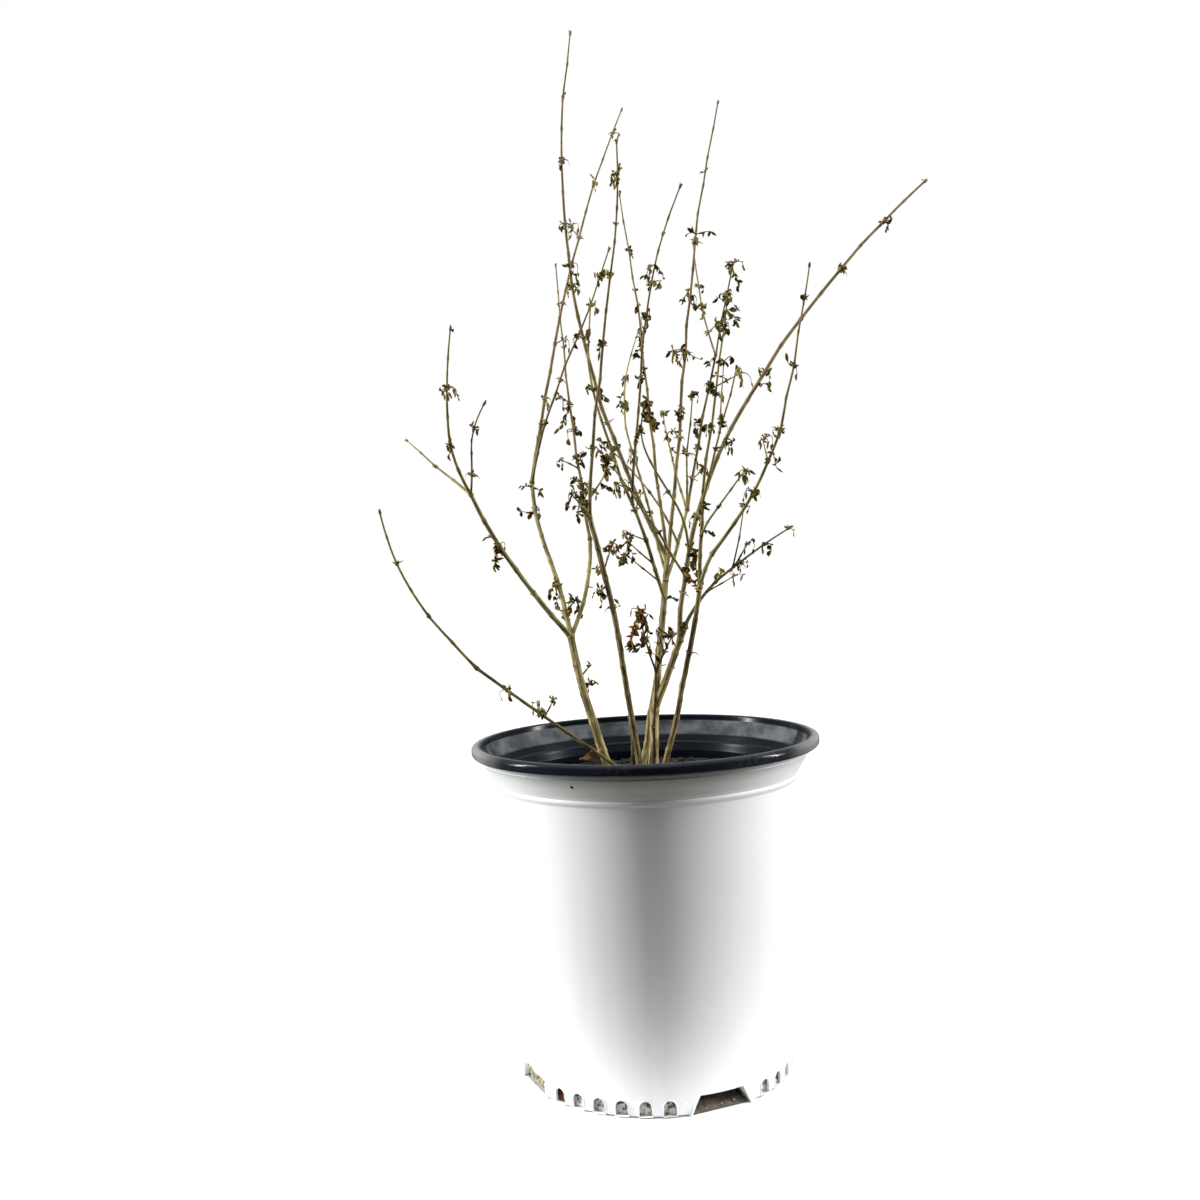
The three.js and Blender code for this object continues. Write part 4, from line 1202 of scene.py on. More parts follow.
shoot("leaning_lower_shoot", "outermost_shoot", 0.12, (-13, -92, 422), (2.0, 0.9), "olive_twig",
      bow=(0, 0, 2), tufts=(0.97,))
shoot("leaning_back_shoot", "right_middle_bough", 0.55, (-18, 38, 445), (1.7, 0.9), "olive_twig",
      bow=(5, 0, 2), tufts=(0.97,))
shoot("fan_left_shoot", "right_middle_bough", 1, (25, 104, 476), (1.8, 0.9), "olive_twig", bow=(-2, 0, -1),
      tufts=(0.97,))
shoot("fan_middle_shoot", "right_middle_bough", 1, (44, -6, 477), (1.7, 0.9), "olive_twig",
      bow=(-2, 0, -1), tufts=(0.6, 0.97))
shoot("fan_right_shoot", "right_middle_bough", 1, (80, 44, 577), (2.2, 1.0), "taupe_twig", bow=(-1, 0, 0),
      tufts=(0.3, 0.54, 0.74, 0.83, 0.9, 0.98))
shoot("fan_back_shoot", "fan_right_shoot", 0.62, (54, 102, 606), (1.4, 0.9), "taupe_twig", bow=(-3, 0, 0),
      tufts=(0.35, 0.6))
shoot("right_tall_shoot", "right_cane", 1, (67, -58, 534), (2.8, 0.9), "olive_twig", bow=(-3, 0, 0),
      sway=-1, tufts=(0.55, 0.7, 0.84, 0.97))
shoot("right_outer_shoot", "right_spur", 1, (114, -112, 541), (2.4, 0.9), "olive_twig", bow=(16, 0, 0),
      sway=3, tufts=(0.26, 0.43, 0.63, 0.88))
shoot("right_low_shoot", "right_tall_shoot", 0.18, (70, -108, 416), (1.7, 0.9), "olive_twig",
      bow=(-3, 0, -2), tufts=(0.97,))
shoot("right_front_shoot", "right_tall_shoot", 0.3, (68, -98, 482), (1.7, 0.9), "olive_twig",
      tufts=(0.55,), twigs=(0.48,))
shoot("dark_side_shoot", "front_right_bough", 1, (114, 42, 380), (2.6, 1.1), "dark_twig", bow=(-8, 0, 3),
      sway=-1, tufts=(0.6, 0.8, 0.98), twigs=(0.4, 0.48))
shoot("dead_tuft_twig", "thin_dark_cane", 1, (0, -34, 328), (1.4, 0.9), "dark_twig", bow=(-2, 0, 0),
      tufts=(0.5, 0.98))
shoot("dark_right_twig", "thin_dark_cane", 1, (23, -30, 310), (1.5, 0.9), "dark_twig", tufts=(0.98,))
print(len(limbs), "limbs, the highest up to", max(limb.tip[2] for limb in limbs.values()), "mm")

# %% [markdown]
# ## What grows on a limb
# At some joints a tuft of dried stalks hangs, and at some a short side twig stands with a tuft at its
# end. Where they point and how long they are comes from chance with the joint's own number. One that
# would touch another limb or the soil is left out, just as in the source, so the same ones are left.

# %% State the growth rule
SAMPLE_STEP = 2
TWIG_CHANCE = 0.06
TWIG_LENGTH = (8, 16)
TWIG_WIDTHS = (1.1, 0.7)
TWIG_SPREAD = math.radians(48)
TUFT_BLADES = (2, 3)
BLADE_LENGTH = (8, 13)
BLADE_WIDTH = 3.8
BLADE_DIP = (10, 75)
BLADE_INSET = 0.8
CLEARANCE = 0.7
TIP_INSET = 1

taken_places = []
taken_radii = []
taken_owners = []


def take(limb, places, radii):
    """Marks places that what grows on other limbs has to keep clear of."""
    taken_places.append(places)
    taken_radii.append(np.broadcast_to(radii, len(places)))
    taken_owners.append(np.full(len(places), limb.seed))


def samples(start, end):
    count = math.ceil(np.linalg.norm(end - start) / SAMPLE_STEP)
    return start + (end - start) * np.linspace(0, 1, count + 1)[:, None]


def claimed(limb, start, end, radius):
    """Takes the place of a straight piece, if that is clear of the soil and of all other limbs."""
    spots = samples(start, end)
    if spots[:, 2].min() - radius < SOIL_HEIGHT + CLEARANCE:
        return False
    others = np.concatenate(taken_owners) != limb.seed
    places = np.concatenate(taken_places)[others]
    radii = np.concatenate(taken_radii)[others]
    distance = np.linalg.norm(spots[:, None] - places[None], axis=-1)
    clear = (distance >= radius + radii[None] + CLEARANCE).all()
    if clear:
        take(limb, spots, radius)
    return clear


sprays = []
side_twigs = []


def grow_tuft(limb, spot, seed):
    """Keeps a tuft's spot, its seed and the free ways that its stalks can hang."""
    hangs = []
    count = math.floor(drawn(*TUFT_BLADES, seed, 1) + 0.5)
    for i in range(count):
        turn = 2 * math.pi * (i / count + scatter(seed, 10 + i) / count)
        along = heading(turn, -math.radians(drawn(*BLADE_DIP, seed, 20 + i)))
        length = drawn(*BLADE_LENGTH, seed, 30 + i) - BLADE_INSET
        if claimed(limb, spot, spot + along * length, BLADE_WIDTH / 2):
            hangs.append(along * length)
    sprays.append((spot, seed, hangs))


def grow_side_twig(limb, share, seed):
    spot = limb.point(share)
    stem = unit(limb.point(share + SAMPLE_STEP / limb.length) - spot)
    out = heading(2 * math.pi * scatter(seed, 2), 0)
    out = unit(out - stem * (out @ stem))
    along = stem * math.cos(TWIG_SPREAD) + out * math.sin(TWIG_SPREAD)
    end = spot + along * drawn(*TWIG_LENGTH, seed, 3)
    if claimed(limb, spot, end, TWIG_WIDTHS[0] / 2):
        side_twigs.append((limb, spot, end))
        grow_tuft(limb, end - along * TIP_INSET, seed + 0.5)


def grow_on(limb):
    for knot in range(1, limb.knots + 1):
        seed = 100 * limb.seed + knot
        share = knot / limb.knots
        lucky = limb.kind == "shoot" and knot < limb.knots and scatter(seed, 0) < TWIG_CHANCE
        if knot in limb.tufts:
            grow_tuft(limb, limb.point(min(share, 1 - TIP_INSET / limb.length)), seed)
        elif knot in limb.twigs or lucky:
            limb.twigged.append(knot)
            grow_side_twig(limb, share, seed)


for limb in limbs.values():
    shares = np.linspace(0, 1, math.ceil(limb.length / SAMPLE_STEP) + 1)
    take(limb, limb.point(shares), limb.radius(shares))
for limb in list(limbs.values()):
    grow_on(limb)
print(len(sprays), "tufts and", len(side_twigs), "side twigs")

# %% [markdown]
# ## Finer twigs
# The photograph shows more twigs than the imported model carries: thin ones, thumb long, that leave a
# shoot and end in a tuft of their own. They are limbs like the others, only added after the rule has
# run, so that they leave the source's own growth alone.

# %% Grow the finer twigs
FINE_TWIGS = (
    ("dark_side_shoot", 0.54, (78, 13, 395)),
    ("dark_side_shoot", 0.55, (79, 11, 369)),
    ("dark_side_shoot", 0.30, (70, 16, 347)),
    ("fan_right_shoot", 0.20, (51, 22, 455)),
    ("fan_right_shoot", 0.48, (82, 28, 494)),
    ("right_front_shoot", 0.52, (62, -67, 489)),
    ("crossing_shoot", 0.12, (-6, -22, 375)),
    ("crossing_shoot", 0.06, (-7, -12, 365)),
    ("left_cane", 0.71, (-37, 10, 287)),
    ("arching_cane", 0.67, (-73, -28, 265)),
    ("arching_cane", 0.63, (-62, -27, 267)),
    ("inner_cane", 0.80, (-16, -30, 374)),
    ("inner_cane", 0.75, (-28, -36, 341)),
    ("straight_tall_shoot", 0.48, (34, 31, 511)),
    ("back_left_shoot", 0.26, (-54, 45, 438)),
    ("left_middle_bough", 0.24, (-59, 15, 346)),
    ("left_middle_bough", 0.16, (-46, 20, 334)),
)
FINE_WIDTHS = (1.2, 0.7)
FINE_SEED = 5000
TWIG_LOOKS = {"tan": "olive_twig", "pale": "olive_twig", "mixed": "olive_twig", "olive": "olive_twig",
              "dark": "dark_twig"}

for number, (parent, share, tip) in enumerate(FINE_TWIGS):
    look = limbs[parent].look
    look = TWIG_LOOKS.get(look, look)
    twig = Limb("twig", "fine_twig_%d" % number, parent, share, tip, FINE_WIDTHS, look)
    grow_tuft(twig, twig.tip, FINE_SEED + number)
print(len(FINE_TWIGS), "finer twigs")

# %% [markdown]
# ## Bark
# Lilac bark is smooth and tan when old, olive or dark on the shaded side, with streaks along the stem
# and pale corky dots. The wrinkles are real relief, built into the tube, and so are some dots on thick
# stems. The colour follows the grain, which runs along each stem however it bends.

# %% Make the barks
class Bark(Finish):
    """Streaks along the stem between two colours, with patches of a third and pale corky dots."""

    def __init__(self, name, slot, light, shade, patch, gloss=0.0):
        super().__init__(name, slot, Specular_IOR_Level=0.12)
        grain = self.grain()
        streaks = noise(stretched(grain, 1.0, 0.10), 1100, 4.0)
        patches = ramp(noise(stretched(grain, 1.0, 0.45), 130), 0.46, 0.6)
        dots = ramp(cells(stretched(grain, 1.0, 0.7), 420), 0.2, 0.08)
        body = mixed(ramp(streaks, 0.35, 0.65), shade, light)
        base = mixed(dots * 0.5, mixed(patches * 0.55, body, patch), (0.42, 0.37, 0.27))
        self.wear(base, 0.72 - gloss + 0.15 * streaks, streaks + 0.6 * dots, 0.00012)


BARKS = {
    "tan": ("cane_bark", (0.37, 0.305, 0.145), (0.135, 0.103, 0.040), (0.055, 0.038, 0.012)),
    "pale": ("cane_bark", (0.47, 0.395, 0.20), (0.19, 0.148, 0.064), (0.085, 0.059, 0.023)),
    "mixed": ("cane_bark", (0.30, 0.240, 0.105), (0.085, 0.062, 0.022), (0.022, 0.014, 0.005)),
    "dark": ("cane_bark", (0.12, 0.080, 0.036), (0.045, 0.029, 0.012), (0.020, 0.013, 0.006)),
    "olive": ("bough_bark", (0.37, 0.335, 0.145), (0.180, 0.157, 0.060), (0.085, 0.070, 0.024)),
    "olive_twig": ("shoot_bark", (0.32, 0.275, 0.100), (0.150, 0.126, 0.040), (0.060, 0.048, 0.014)),
    "taupe_twig": ("shoot_bark", (0.26, 0.205, 0.090), (0.130, 0.098, 0.038), (0.060, 0.042, 0.015)),
    "dark_twig": ("shoot_bark", (0.105, 0.085, 0.035), (0.042, 0.033, 0.013), (0.020, 0.015, 0.006)),
    "red_twig": ("shoot_bark", (0.26, 0.205, 0.100), (0.15, 0.112, 0.049), (0.080, 0.053, 0.020), 0.2),
}
barks = {name: Bark(name + "_bark", *values) for name, values in BARKS.items()}
print(len(barks), "kinds of bark")

# %% [markdown]
# A stem is a tube with a ring every millimetre or two. Its radius is the rule's, with wrinkles that run
# along it, half as deep on a thin stem. A thick one also has a corky dot here and there. At a fork the
# foot swells into a collar. A cane starts a little under the soil, and any other limb inside its parent.

# %% Grow the stems
CANE_SIDES = 30
SHOOT_SIDES = 12
RING_STEP = {"cane": 0.8, "bough": 0.8, "shoot": 1.5, "twig": 2.0}
WRINKLE = 0.075
WRINKLE_STRETCH = 9
GRAIN_STEP = 400.0
DOT_HEIGHT = 0.16
DOT_REACH = (0.8, 0.5)
DOT_PITCH = 3.2
FORK_COLLAR = 0.30
FORK_LENGTH = 3.5


def sunk_foot(limb):
    """How far a limb runs on below its foot, into the soil or its parent."""
    return ROOT_SINK * limbs[limb.parent].widths[1] / 2 if limb.parent else ROOT_DEPTH


def corky_dots(limb, shares, turns):
    """The height of small raised dots over a stem's skin."""
    total = np.zeros((len(shares), len(turns)))
    for number in range(int(limb.length / DOT_PITCH)):
        share = scatter(limb.seed, 300 + number)
        turn = 2 * math.pi * scatter(limb.seed, 600 + number)
        along = (shares - share) * limb.length / DOT_REACH[0]
        around = ((turns - turn + math.pi) % (2 * math.pi) - math.pi) * limb.radius(share) / DOT_REACH[1]
        total += DOT_HEIGHT * np.exp(-along[:, None] ** 2 - around[None] ** 2)
    return total


def stem(limb):
    """The tube of a limb, and its grain."""
    sides = CANE_SIDES if limb.thick else SHOOT_SIDES
    shares = np.linspace(-sunk_foot(limb) / limb.length, 1, int(limb.length / RING_STEP[limb.kind]) + 2)
    turns = np.linspace(0, 2 * math.pi, sides, endpoint=False)
    above = np.maximum(shares, 0)
    radius = limb.radius(above)[:, None] * np.ones(sides)
    if limb.parent:
        radius = radius * (1 + FORK_COLLAR * np.exp(-above * limb.length / FORK_LENGTH))[:, None]
    travel = shares[:, None] * limb.length / WRINKLE_STRETCH
    spot = np.stack(np.broadcast_arrays(np.cos(turns) * radius, np.sin(turns) * radius, travel), -1)
    wrinkles = lumps(spot, 0.9, limb.seed) + 0.6 * lumps(spot, 0.45, limb.seed + 60)
    radius = radius * (1 + WRINKLE * wrinkles * (1 if limb.thick else 0.5))
    if limb.thick:
        radius = radius + corky_dots(limb, shares, turns)
    return tube(limb.point(shares), radius, sides, GRAIN_STEP * limb.seed)


joined = {}
for limb in limbs.values():
    if limb.thick:
        Heap().add(*stem(limb)).piece(limb.name + "_stem", barks[limb.look], limb.name)
    else:
        heap, nodes = joined.setdefault(limb.look, (Heap(), []))
        heap.add(*stem(limb))
        if limb.kind == "shoot":
            nodes.append(limb.name)
for limb, spot, end in side_twigs:
    look = TWIG_LOOKS.get(limb.look, limb.look)
    line = samples(spot, end)
    share = np.linspace(0, 1, len(line))
    joined[look][0].add(*tube(line, between(*TWIG_WIDTHS, share) / 2, 8, 70.0 * len(line)))
for look, (heap, nodes) in joined.items():
    heap.piece(look + "_stems", barks[look], *nodes)

# %% [markdown]
# ## Joints and buds
# A joint is where a pair of leaves stood. The stem is a little thicker there, two stubby buds face each
# other and sit a quarter turn from the pair before, and what is left of the leaf stalks sticks out as
# hooked points. The rule's knots are closer than the joints in the photograph, so only every other knot
# is shown as one. The upper shoots have rosy joints and the lower ones dusky, so each kind is gathered
# by tone. Twin buds end each limb.

# %% Shape rings, buds and stubs
UP = np.array((0.0, 0.0, 1.0))
RING_HALF = 1.4
RING_RELIEF = np.array((-0.12, 0.08, 0.24, 0.32, 0.28, 0.12, -0.1))
STUB_RADII = np.array((0.36, 0.42, 0.42, 0.36, 0.27, 0.16, 0.04))
DROP_SHARES = np.array((0.0, 0.15, 0.35, 0.6, 0.82, 1.0))
DROP_RADII = np.array((0.45, 0.85, 1.0, 0.8, 0.42, 0.06))


def drop(start, along, length, width):
    """A teardrop: thickest a third of the way along, pointed at its end."""
    return tube(start + along * length * DROP_SHARES[:, None], width / 2 * DROP_RADII, 6)


def curved(corners, steps):
    """A smooth line that starts and ends at the first and last of four corners, drawn to the others."""
    a, b, c, d = (np.asarray(corner, float) for corner in corners)
    share = np.linspace(0, 1, steps)[:, None]
    rest = 1 - share
    return a * rest ** 3 + 3 * b * rest ** 2 * share + 3 * c * rest * share ** 2 + d * share ** 3


def stub(spot, out, length, seed):
    """The dry foot of a leaf stalk: a curved point that droops or turns up."""
    out = out * length
    rise = UP * length * drawn(-0.2, 0.55, seed, 1)
    fall = UP * length * drawn(-0.9, 0.5, seed, 2)
    corners = (spot, spot + out * 0.4 + rise * 0.3, spot + out * 0.8 + rise, spot + out + fall)
    return tube(curved(corners, len(STUB_RADII)), STUB_RADII, 5)


def dry(name, slot, light, shade):
    """A dry, dull finish: two colours in small clouds."""
    finish = Finish(name, slot, Specular_IOR_Level=0.0)
    cloud = noise(finish.place(), 500)
    finish.wear(mixed(ramp(cloud, 0.35, 0.65), shade, light), 0.7 + 0.2 * cloud, cloud, 0.0001)
    return finish


# %% [markdown]
# Each limb is walked from joint to joint. Only a thin stem gets rings, since a thick one has grown over
# its own. On a thick stem the buds are also shorter, and most of the stubs have broken off.

# %% Mark the joints
BUD_LENGTH = (1.9, 2.8)
BUD_LEAN = math.radians(50)
TIP_LEAN = math.radians(18)
BUD_SHARE = 0.52
THICK_BUDS = 0.7
STUB_LENGTH = (2.2, 5.8)
STUBS_LEFT = 0.75
THICK_STUBS_LEFT = 0.35
TONES = {
    "rosy": ((0.30, 0.215, 0.145), (0.16, 0.105, 0.062)),
    "dusky": ((0.185, 0.145, 0.072), (0.075, 0.055, 0.026)),
}


def shown_joints(limb):
    """The knots that show as joints: those that carry something, and every other one between."""
    fixed = sorted({0, limb.knots, *limb.tufts, *limb.twigged})
    joints = []
    for low, high in zip(fixed, fixed[1:]):
        count = max(1, round((high - low) / 2))
        joints += [low + (high - low) * i / count for i in range(1, count + 1)]
    return joints


marks = {(tone, part): Heap() for tone in TONES for part in ("joint_rings", "buds", "leaf_stalk_stubs")}
for limb in limbs.values():
    tone = "rosy" if limb.look in ("taupe_twig", "red_twig") else "dusky"
    for number, joint in enumerate(shown_joints(limb)):
        share = limb.joint(joint)
        spot = limb.point(share)
        along = limb.ahead(share)
        radius = float(limb.radius(share))
        seed = 10 * limb.seed + number
        if not limb.thick:
            travel = RING_HALF * np.linspace(-1, 1, len(RING_RELIEF))[:, None]
            ring = tube(spot + along * travel, radius + RING_RELIEF, 10, GRAIN_STEP * seed)
            marks[tone, "joint_rings"].add(*ring)
        side = heading(2 * math.pi * scatter(limb.seed, 7) + math.pi / 2 * number, 0)
        side = unit(side - along * (side @ along))
        last = joint == limb.knots
        lean = TIP_LEAN if last else BUD_LEAN
        for way in (1, -1):
            out = side * way
            length = drawn(*BUD_LENGTH, seed, 30 + way) * (THICK_BUDS if limb.thick else 1)
            start = spot + out * radius * (0.35 if last else 0.75) + along * 0.3
            bud = drop(start, along * math.cos(lean) + out * math.sin(lean), length, BUD_SHARE * length)
            marks[tone, "buds"].add(*bud)
            left = THICK_STUBS_LEFT if limb.thick else STUBS_LEFT
            if not last and scatter(seed, 40 + way) < left:
                length = between(*STUB_LENGTH, scatter(seed, 50 + way) ** 1.6)
                point = stub(spot + out * radius * 0.7, out, length, seed + 0.1 * way)
                marks[tone, "leaf_stalk_stubs"].add(*point)

joint_finishes = {tone: dry(tone + "_joint", "shoot_bark", *shades) for tone, shades in TONES.items()}
for (tone, part), heap in marks.items():
    heap.piece(tone + "_" + part, joint_finishes[tone])

# %% [markdown]
# ## Tufts
# What stays at the joints is last summer's: curly stalks, seed capsules and small curled leaves, all dry.
# Three habits make them. A stalk goes out, bends over and carries a few bits at its end. A nest of tiny
# leaves sits right on a joint. A bunch is a longer stalk, crowded with bits from end to end.

# %% Shape stalks, capsules and leaves
STALK_WIDTHS = (0.80, 0.42)
STALK_REACH = (1.8, 7.5)
STALK_FALL = (-2.5, 6.0)
POD_LENGTH = (2.8, 4.8)
POD_SHARE = 0.39
LEAF_LENGTH = (2.6, 5.6)
LEAF_SHARE = 0.54
LEAF_SKIN = 0.16
NEST_LENGTH = (1.6, 3.6)
POD_CHANCE = 0.4
TUFT_COLOURS = {
    "black": ((0.155, 0.115, 0.034), (0.046, 0.033, 0.008)),
    "olive": ((0.300, 0.250, 0.075), (0.110, 0.090, 0.024)),
    "rust": ((0.360, 0.185, 0.055), (0.150, 0.070, 0.018)),
}
TUFT_PARTS = ("stalks", "seed_capsules", "curled_leaves")

dried = {(part, tint): Heap() for tint in TUFT_COLOURS for part in TUFT_PARTS}


def curled_leaf(start, along, side, length, width, seed, columns=5, rows=6, curl=1.5):
    """A dried leaf: two skins a hair apart, curled across and bent along."""
    across, travel = sheet_grid(rows, columns)
    half = width / 2 * np.sin(math.pi * np.clip(travel * 0.95 + 0.03, 0, 1)) ** 0.8
    turn = curl * across + 2.4 * (scatter(seed, 3) - 0.5) * travel
    lift = np.cross(along, side)
    bend = length * 0.8 * (scatter(seed, 4) - 0.4) * travel ** 2
    places = start + along * (travel * length)[..., None] + side * (half * np.sin(turn))[..., None]
    places = places + lift * (half * (1 - np.cos(turn)) + bend)[..., None]
    outward = side * np.sin(turn)[..., None] - lift * np.cos(turn)[..., None]
    skins = [(places + outward * LEAF_SKIN * way / 2).reshape(-1, 3) for way in (-1, 1)]
    return np.concatenate(skins), sheet_faces(rows, columns)


def jumble(seed):
    """A vector that points anywhere, up to about 1 long."""
    return np.array([2 * scatter(seed, count) - 1 for count in (21, 22, 23)])


def add_leaf(tint, spot, way, length, seed):
    side = unit(np.cross(way, unit(jumble(seed + 0.3) + (0.0, 0.01, 0.0))))
    width = length * LEAF_SHARE * drawn(0.7, 1.3, seed, 24)
    dried["curled_leaves", tint].add(curled_leaf(spot, way, side, length, width, seed))


def add_bit(tint, spot, way, size, seed):
    """A capsule or a curled leaf."""
    if scatter(seed, 25) < POD_CHANCE:
        length = drawn(*POD_LENGTH, seed, 26) * size
        dried["seed_capsules", tint].add(*drop(spot, way, length, POD_SHARE * length))
    else:
        add_leaf(tint, spot, way, drawn(*LEAF_LENGTH, seed, 26) * size, seed)


def add_stalk(tint, corners, steps, size, seed):
    """A curly stalk along four corners."""
    line = curved(corners, steps)
    curl = np.stack([lumps(line, 2.0, seed + count) for count in range(3)], -1)
    line = line + curl * np.linspace(0, 0.7 * size, steps)[:, None]
    widths = between(*STALK_WIDTHS, np.linspace(0, 1, steps)) * min(1.2, size)
    dried["stalks", tint].add(*tube(line, widths / 2, 5))
    return line


# %% [markdown]
# The habits follow. A bit points on along its stalk, jumbled by chance and drawn down a little. Only the
# leaves of a nest point anywhere.

# %% State the three habits
def hang(tint, spot, out, seed):
    """One stalk with a few bits at its end, out from its spot and mostly down."""
    reach = between(*STALK_REACH, scatter(seed, 1) ** 1.4)
    fall = drawn(*STALK_FALL, seed, 2)
    rise = UP * reach * drawn(-0.1, 0.6, seed, 3)
    end = spot + out * reach * drawn(0.7, 1.05, seed, 4) - UP * fall
    corners = (spot, spot + out * reach * 0.5 + rise, spot + out * reach * 1.15 + rise, end)
    line = add_stalk(tint, corners, 9, 1.0, seed)
    down = unit(line[-1] - line[-2])
    for number in range(1 + int(3 * scatter(seed, 5) ** 1.4)):
        way = unit(down + 0.3 * (1 + number) * jumble(seed + 0.37 * number) - UP * 0.3)
        add_bit(tint, line[-1 - number], way, 1.0, seed + 0.71 * number)
    for number in (3, 6):
        if scatter(seed, 10 + number) < 0.35:
            way = unit(jumble(seed + number) + out * 0.5)
            add_leaf(tint, line[number], way, drawn(*NEST_LENGTH, seed, 15), seed + 3)


def nest(tint, spot, count, seed):
    """Tiny leaves that sit on a joint and point anywhere."""
    for number in range(count):
        way = unit(jumble(seed + 0.11 * number) + (0.0, 0.0, 0.25))
        length = drawn(*NEST_LENGTH, seed, 40 + number)
        add_leaf(tint, spot + way * 0.8, way, length, seed + number)


def bunch(tints, spot, reach, count, size, seed):
    """A stalk that reaches from its spot, crowded with bits. The colour changes half way along."""
    over = jumble(seed) * 0.25 * np.linalg.norm(reach)
    first = spot + reach * 0.3 + UP * size + over * 0.5
    line = add_stalk(tints[0], (spot, first, spot + reach * 0.75 + over, spot + reach), 13, size, seed)
    for number in range(count):
        share = (number + scatter(seed, 50 + number)) / count
        tint = tints[int(share + 0.9 * (scatter(seed, 90 + number) - 0.5) > 0.4)]
        way = unit(jumble(seed + 0.53 * number) + unit(reach) * 0.5 - UP * 0.3)
        add_bit(tint, line[min(12, int(13 * share))], way, size, seed + 0.19 * number)


# %% [markdown]
# The growth rule says where tufts hang and which ways are free, and along each free way goes a stalk or
# two. The fuller bunches were read off the photograph one by one: which limb they stand on, how far along
# it, how far they reach aside and up, and how many bits they have.

# %% Hang the tufts
CROWD = (1, 1, 2)
BUNCHES = (
    ("dead_tuft_twig", (0.98, -6, -25, 30), (0.98, 5, -19, 17), (0.98, 7, -3, 5), (0.50, -5, -6, 6),
     (0.30, 5, -3, 4)),
    ("dark_right_twig", (0.9, -4, 3, 3)),
    ("left_outer_bough", (0.70, -2, -17, 18), (0.72, -6, 1, 4)),
    ("left_middle_bough", (0.38, -6, -10, 10), (0.30, -5, -12, 9), (0.12, 2, 13, 12)),
    ("fine_twig_16", (1.0, 2, -9, 10), (0.9, -3, 4, 4)),
    ("left_middle_bough", (0.80, -12, 2, 5), (0.97, -8, 1, 5), (0.97, 7, -5, 5)),
    ("inner_side_twigs", (0.98, -3, 17, 18), (0.98, 5, 12, 9), (0.65, 4, -4, 5)),
    ("inner_front_twigs", (0.95, -4, -8, 6), (0.50, -6, 2, 5), (0.20, -2, 5, 6)),
    ("back_left_shoot", (0.10, -1, 17, 17), (0.20, -6, 7, 12), (0.14, 4, 13, 12), (0.28, 3, 5, 4),
     (0.50, -9, -19, 10), (0.50, 3, -14, 6)),
    ("fine_twig_6", (1.0, -9, -4, 8), (1.0, -3, -11, 8)),
    ("fine_twig_7", (1.0, -6, -6, 8)),
    ("fine_twig_11", (0.98, -5, -3, 6), (0.98, 2, -8, 7)),
    ("fine_twig_12", (0.9, 1, -9, 6)),
    ("straight_tall_shoot", (0.72, 12, 2, 5), (0.72, -7, 1, 3), (0.61, -6, -9, 8), (0.48, -14, -1, 4),
     (0.48, 11, -8, 5), (0.34, -3, 3, 4)),
    ("right_cane", (0.98, -5, 30, 22), (0.985, -8, 17, 16)),
    ("right_tall_shoot", (0.20, 7, -2, 6), (0.26, 3, 6, 5)),
    ("front_left_bough", (0.86, 7, -1, 5)),
    ("front_right_bough", (0.95, -3, 3, 7)),
    ("fan_right_shoot", (0.98, 5, -15, 11), (0.98, -2, 2, 7), (0.83, -6, 6, 4), (0.80, 9, -8, 15),
     (0.80, 12, 2, 6), (0.80, 1, -10, 10), (0.54, 12, -4, 8), (0.62, -5, -7, 7), (0.37, -6, -3, 5)),
    ("right_front_shoot", (0.97, 4, -11, 6)),
    ("fan_middle_shoot", (0.97, 1, 4, 6)),
    ("outermost_shoot", (0.50, 8, 0, 6)),
    ("right_outer_shoot", (0.37, 2, -11, 6)),
    ("tallest_shoot", (0.56, 6, -9, 7), (0.56, -2, 4, 6)),
    ("crossing_high_shoot", (0.76, -7, -8, 5), (0.76, 5, -9, 5)),
    ("back_tall_shoot", (0.70, -1, -5, 4)),
    ("crossing_shoot", (0.87, -2, 3, 8)),
    ("back_tall_shoot", (0.58, -5, -7, 7), (0.52, -4, -10, 8)),
    ("leaning_upper_shoot", (0.98, 3, -17, 22), (0.84, -3, -5, 7)),
    ("back_short_shoot", (0.76, -5, -12, 8)),
    ("inner_tall_shoot", (0.33, 6, -4, 5)),
    ("fan_left_shoot", (0.97, 2, 2, 4), (0.62, 3, -4, 3)),
    ("right_low_shoot", (0.97, 4, 1, 4)),
)
RUSTY = ("dead_tuft_twig", "left_outer_bough", "left_middle_bough", "right_cane", "front_right_bough",
         "fine_twig_11")
OLIVE_SHARE = 0.55
NEST_SHARE = 0.45
NEST_LEAVES = 4
BUNCH_SEED = 7000
CROWDED = 16
CROWDED_SIZE = 1.35
BUNCH_SIZE = 1.1


def tuft_colour(seed):
    """A tuft is olive or nearly black. Only the bunches on the limbs named above are rusty."""
    return "olive" if scatter(seed, 5) < OLIVE_SHARE else "black"


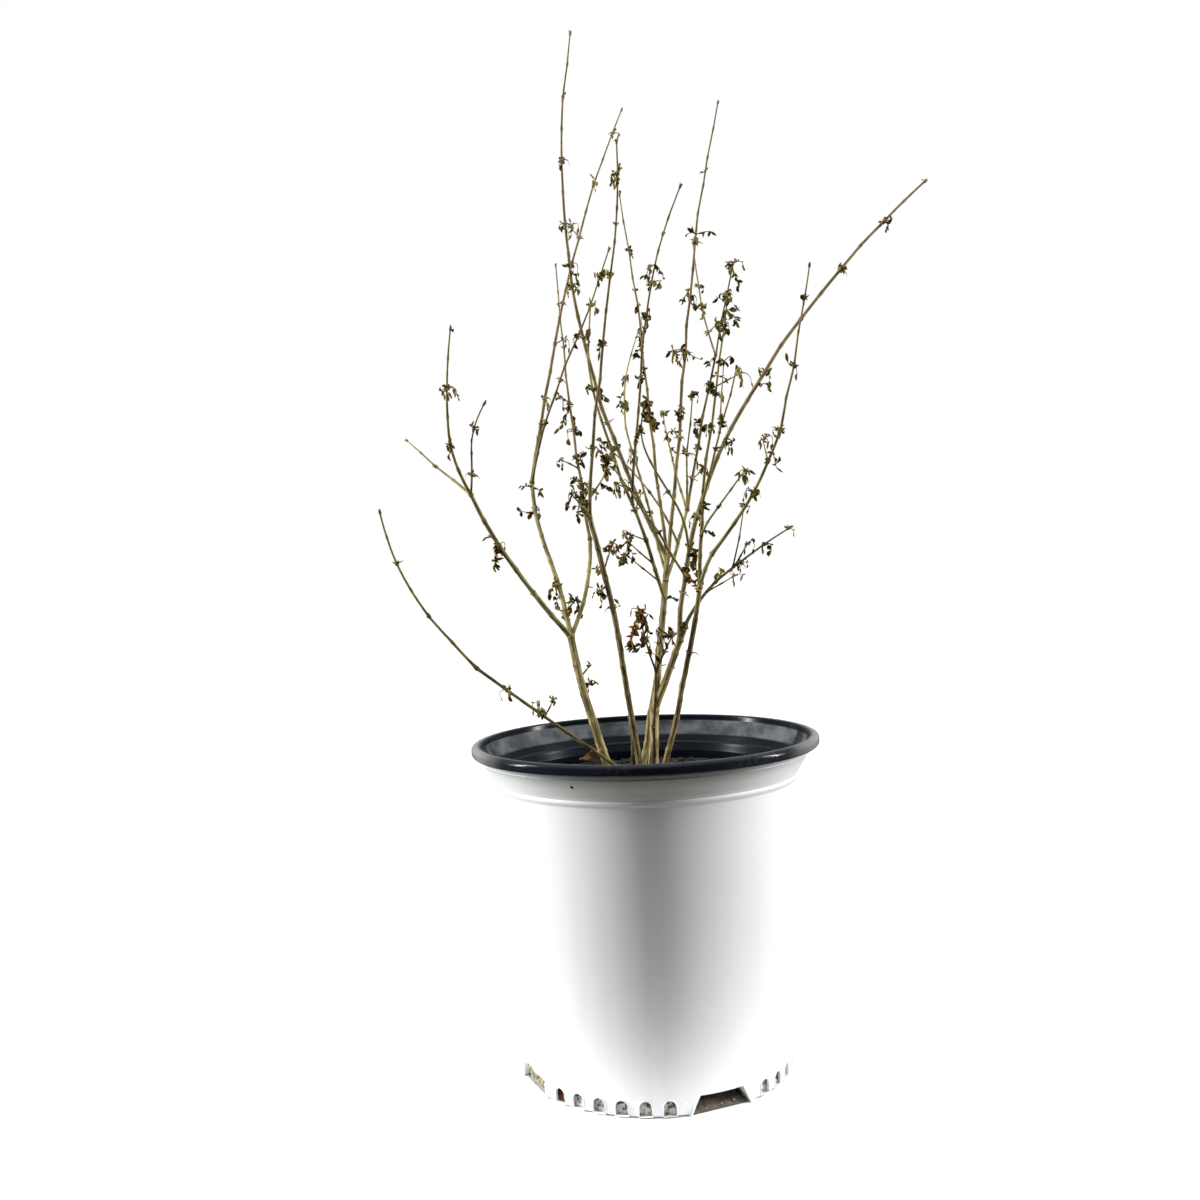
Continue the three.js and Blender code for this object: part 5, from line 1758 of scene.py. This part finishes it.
for spot, seed, hangs in sprays:
    tint = tuft_colour(seed)
    crowd = CROWD[int(3 * scatter(seed, 6))]
    for number, way in enumerate(hangs):
        for copy in range(crowd):
            own = seed + 0.01 * (number + 1) + 0.001 * copy
            turn = math.atan2(way[1], way[0]) + (1.3 * (scatter(own, 11) - 0.5) if copy else 0.0)
            hang(tint, spot, heading(turn, 0.8 * (scatter(own, 12) - 0.5)), own)
    nest(tint, spot, NEST_LEAVES, seed)
for limb in limbs.values():
    for number, joint in enumerate(shown_joints(limb)):
        seed = 31 * limb.seed + number
        if limb.kind == "shoot" and scatter(seed, 1) < NEST_SHARE:
            nest(tuft_colour(seed), limb.point(limb.joint(joint)), 1 + int(3 * scatter(seed, 2)), seed)
rows = [(name, *row) for name, *group in BUNCHES for row in group]
for number, (name, share, across, rise, count) in enumerate(rows):
    seed = BUNCH_SEED + number
    first = "rust" if name in RUSTY else tuft_colour(seed)
    reach = np.array((across, 4.0 * (scatter(seed, 9) - 0.5), rise))
    size = CROWDED_SIZE if count > CROWDED else BUNCH_SIZE
    bunch((first, "black"), limbs[name].point(share), reach, count, size, seed)
print(len(sprays), "sprays and", len(rows), "fuller bunches")

tuft_finishes = {tint: dry("tuft_" + tint, "dry_leaf", *shades) for tint, shades in TUFT_COLOURS.items()}
for (part, tint), heap in dried.items():
    heap.piece(part + "_" + tint, tuft_finishes[tint])

# %% [markdown]
# ## The fallen leaf
# One leaf lies on the soil at the back left. It is far larger than those in the tufts, orange brown, and
# curled up so much that it stands on its edges. The side toward the canes is nearly black. It is
# the same curled leaf as above, only with a finer grid, so that its skins can be crumpled.

# %% Drop the fallen leaf
FALLEN_LENGTH = 20.0
FALLEN_WIDTH = 17.0
FALLEN_PLACE = (-41.0, 60.0)
FALLEN_TURN = math.radians(-25)
BLACK_FROM = -0.048
BLACK_TO = -0.042
CRUMPLE = 0.7

along = heading(FALLEN_TURN, 0.12)
side = np.array((-math.sin(FALLEN_TURN), math.cos(FALLEN_TURN), 0.0))
foot = np.array((*FALLEN_PLACE, SOIL_HEIGHT + 0.6)) - along * FALLEN_LENGTH / 2
corners, faces = curled_leaf(foot, along, side, FALLEN_LENGTH, FALLEN_WIDTH, 3, columns=25, rows=41, curl=1.2)
crumple = np.stack((lumps(corners, 5, 1), lumps(corners, 5, 2), 0.8 * lumps(corners, 4, 3)), -1)
corners = corners + crumple * CRUMPLE
corners[:, 2] += SOIL_HEIGHT + GAP - corners[:, 2].min()
leaf_rust = Finish("leaf_rust", "dry_leaf", Specular_IOR_Level=0.1)
place = leaf_rust.place()
to_right = part_of(place, "X")
cloud = noise(place, 260)
canes_side = ramp(to_right + 0.012 * (noise(place, 140) - 0.5), BLACK_FROM, BLACK_TO)
crisp = mixed(ramp(cloud, 0.35, 0.65), (0.16, 0.065, 0.022), (0.37, 0.175, 0.060))
leaf_rust.wear(mixed(canes_side, crisp, (0.022, 0.013, 0.008)), 0.75 + 0.2 * cloud, cloud, 0.0002)
Heap().add((corners, faces)).piece("fallen_leaf", leaf_rust, "dry_leaf")
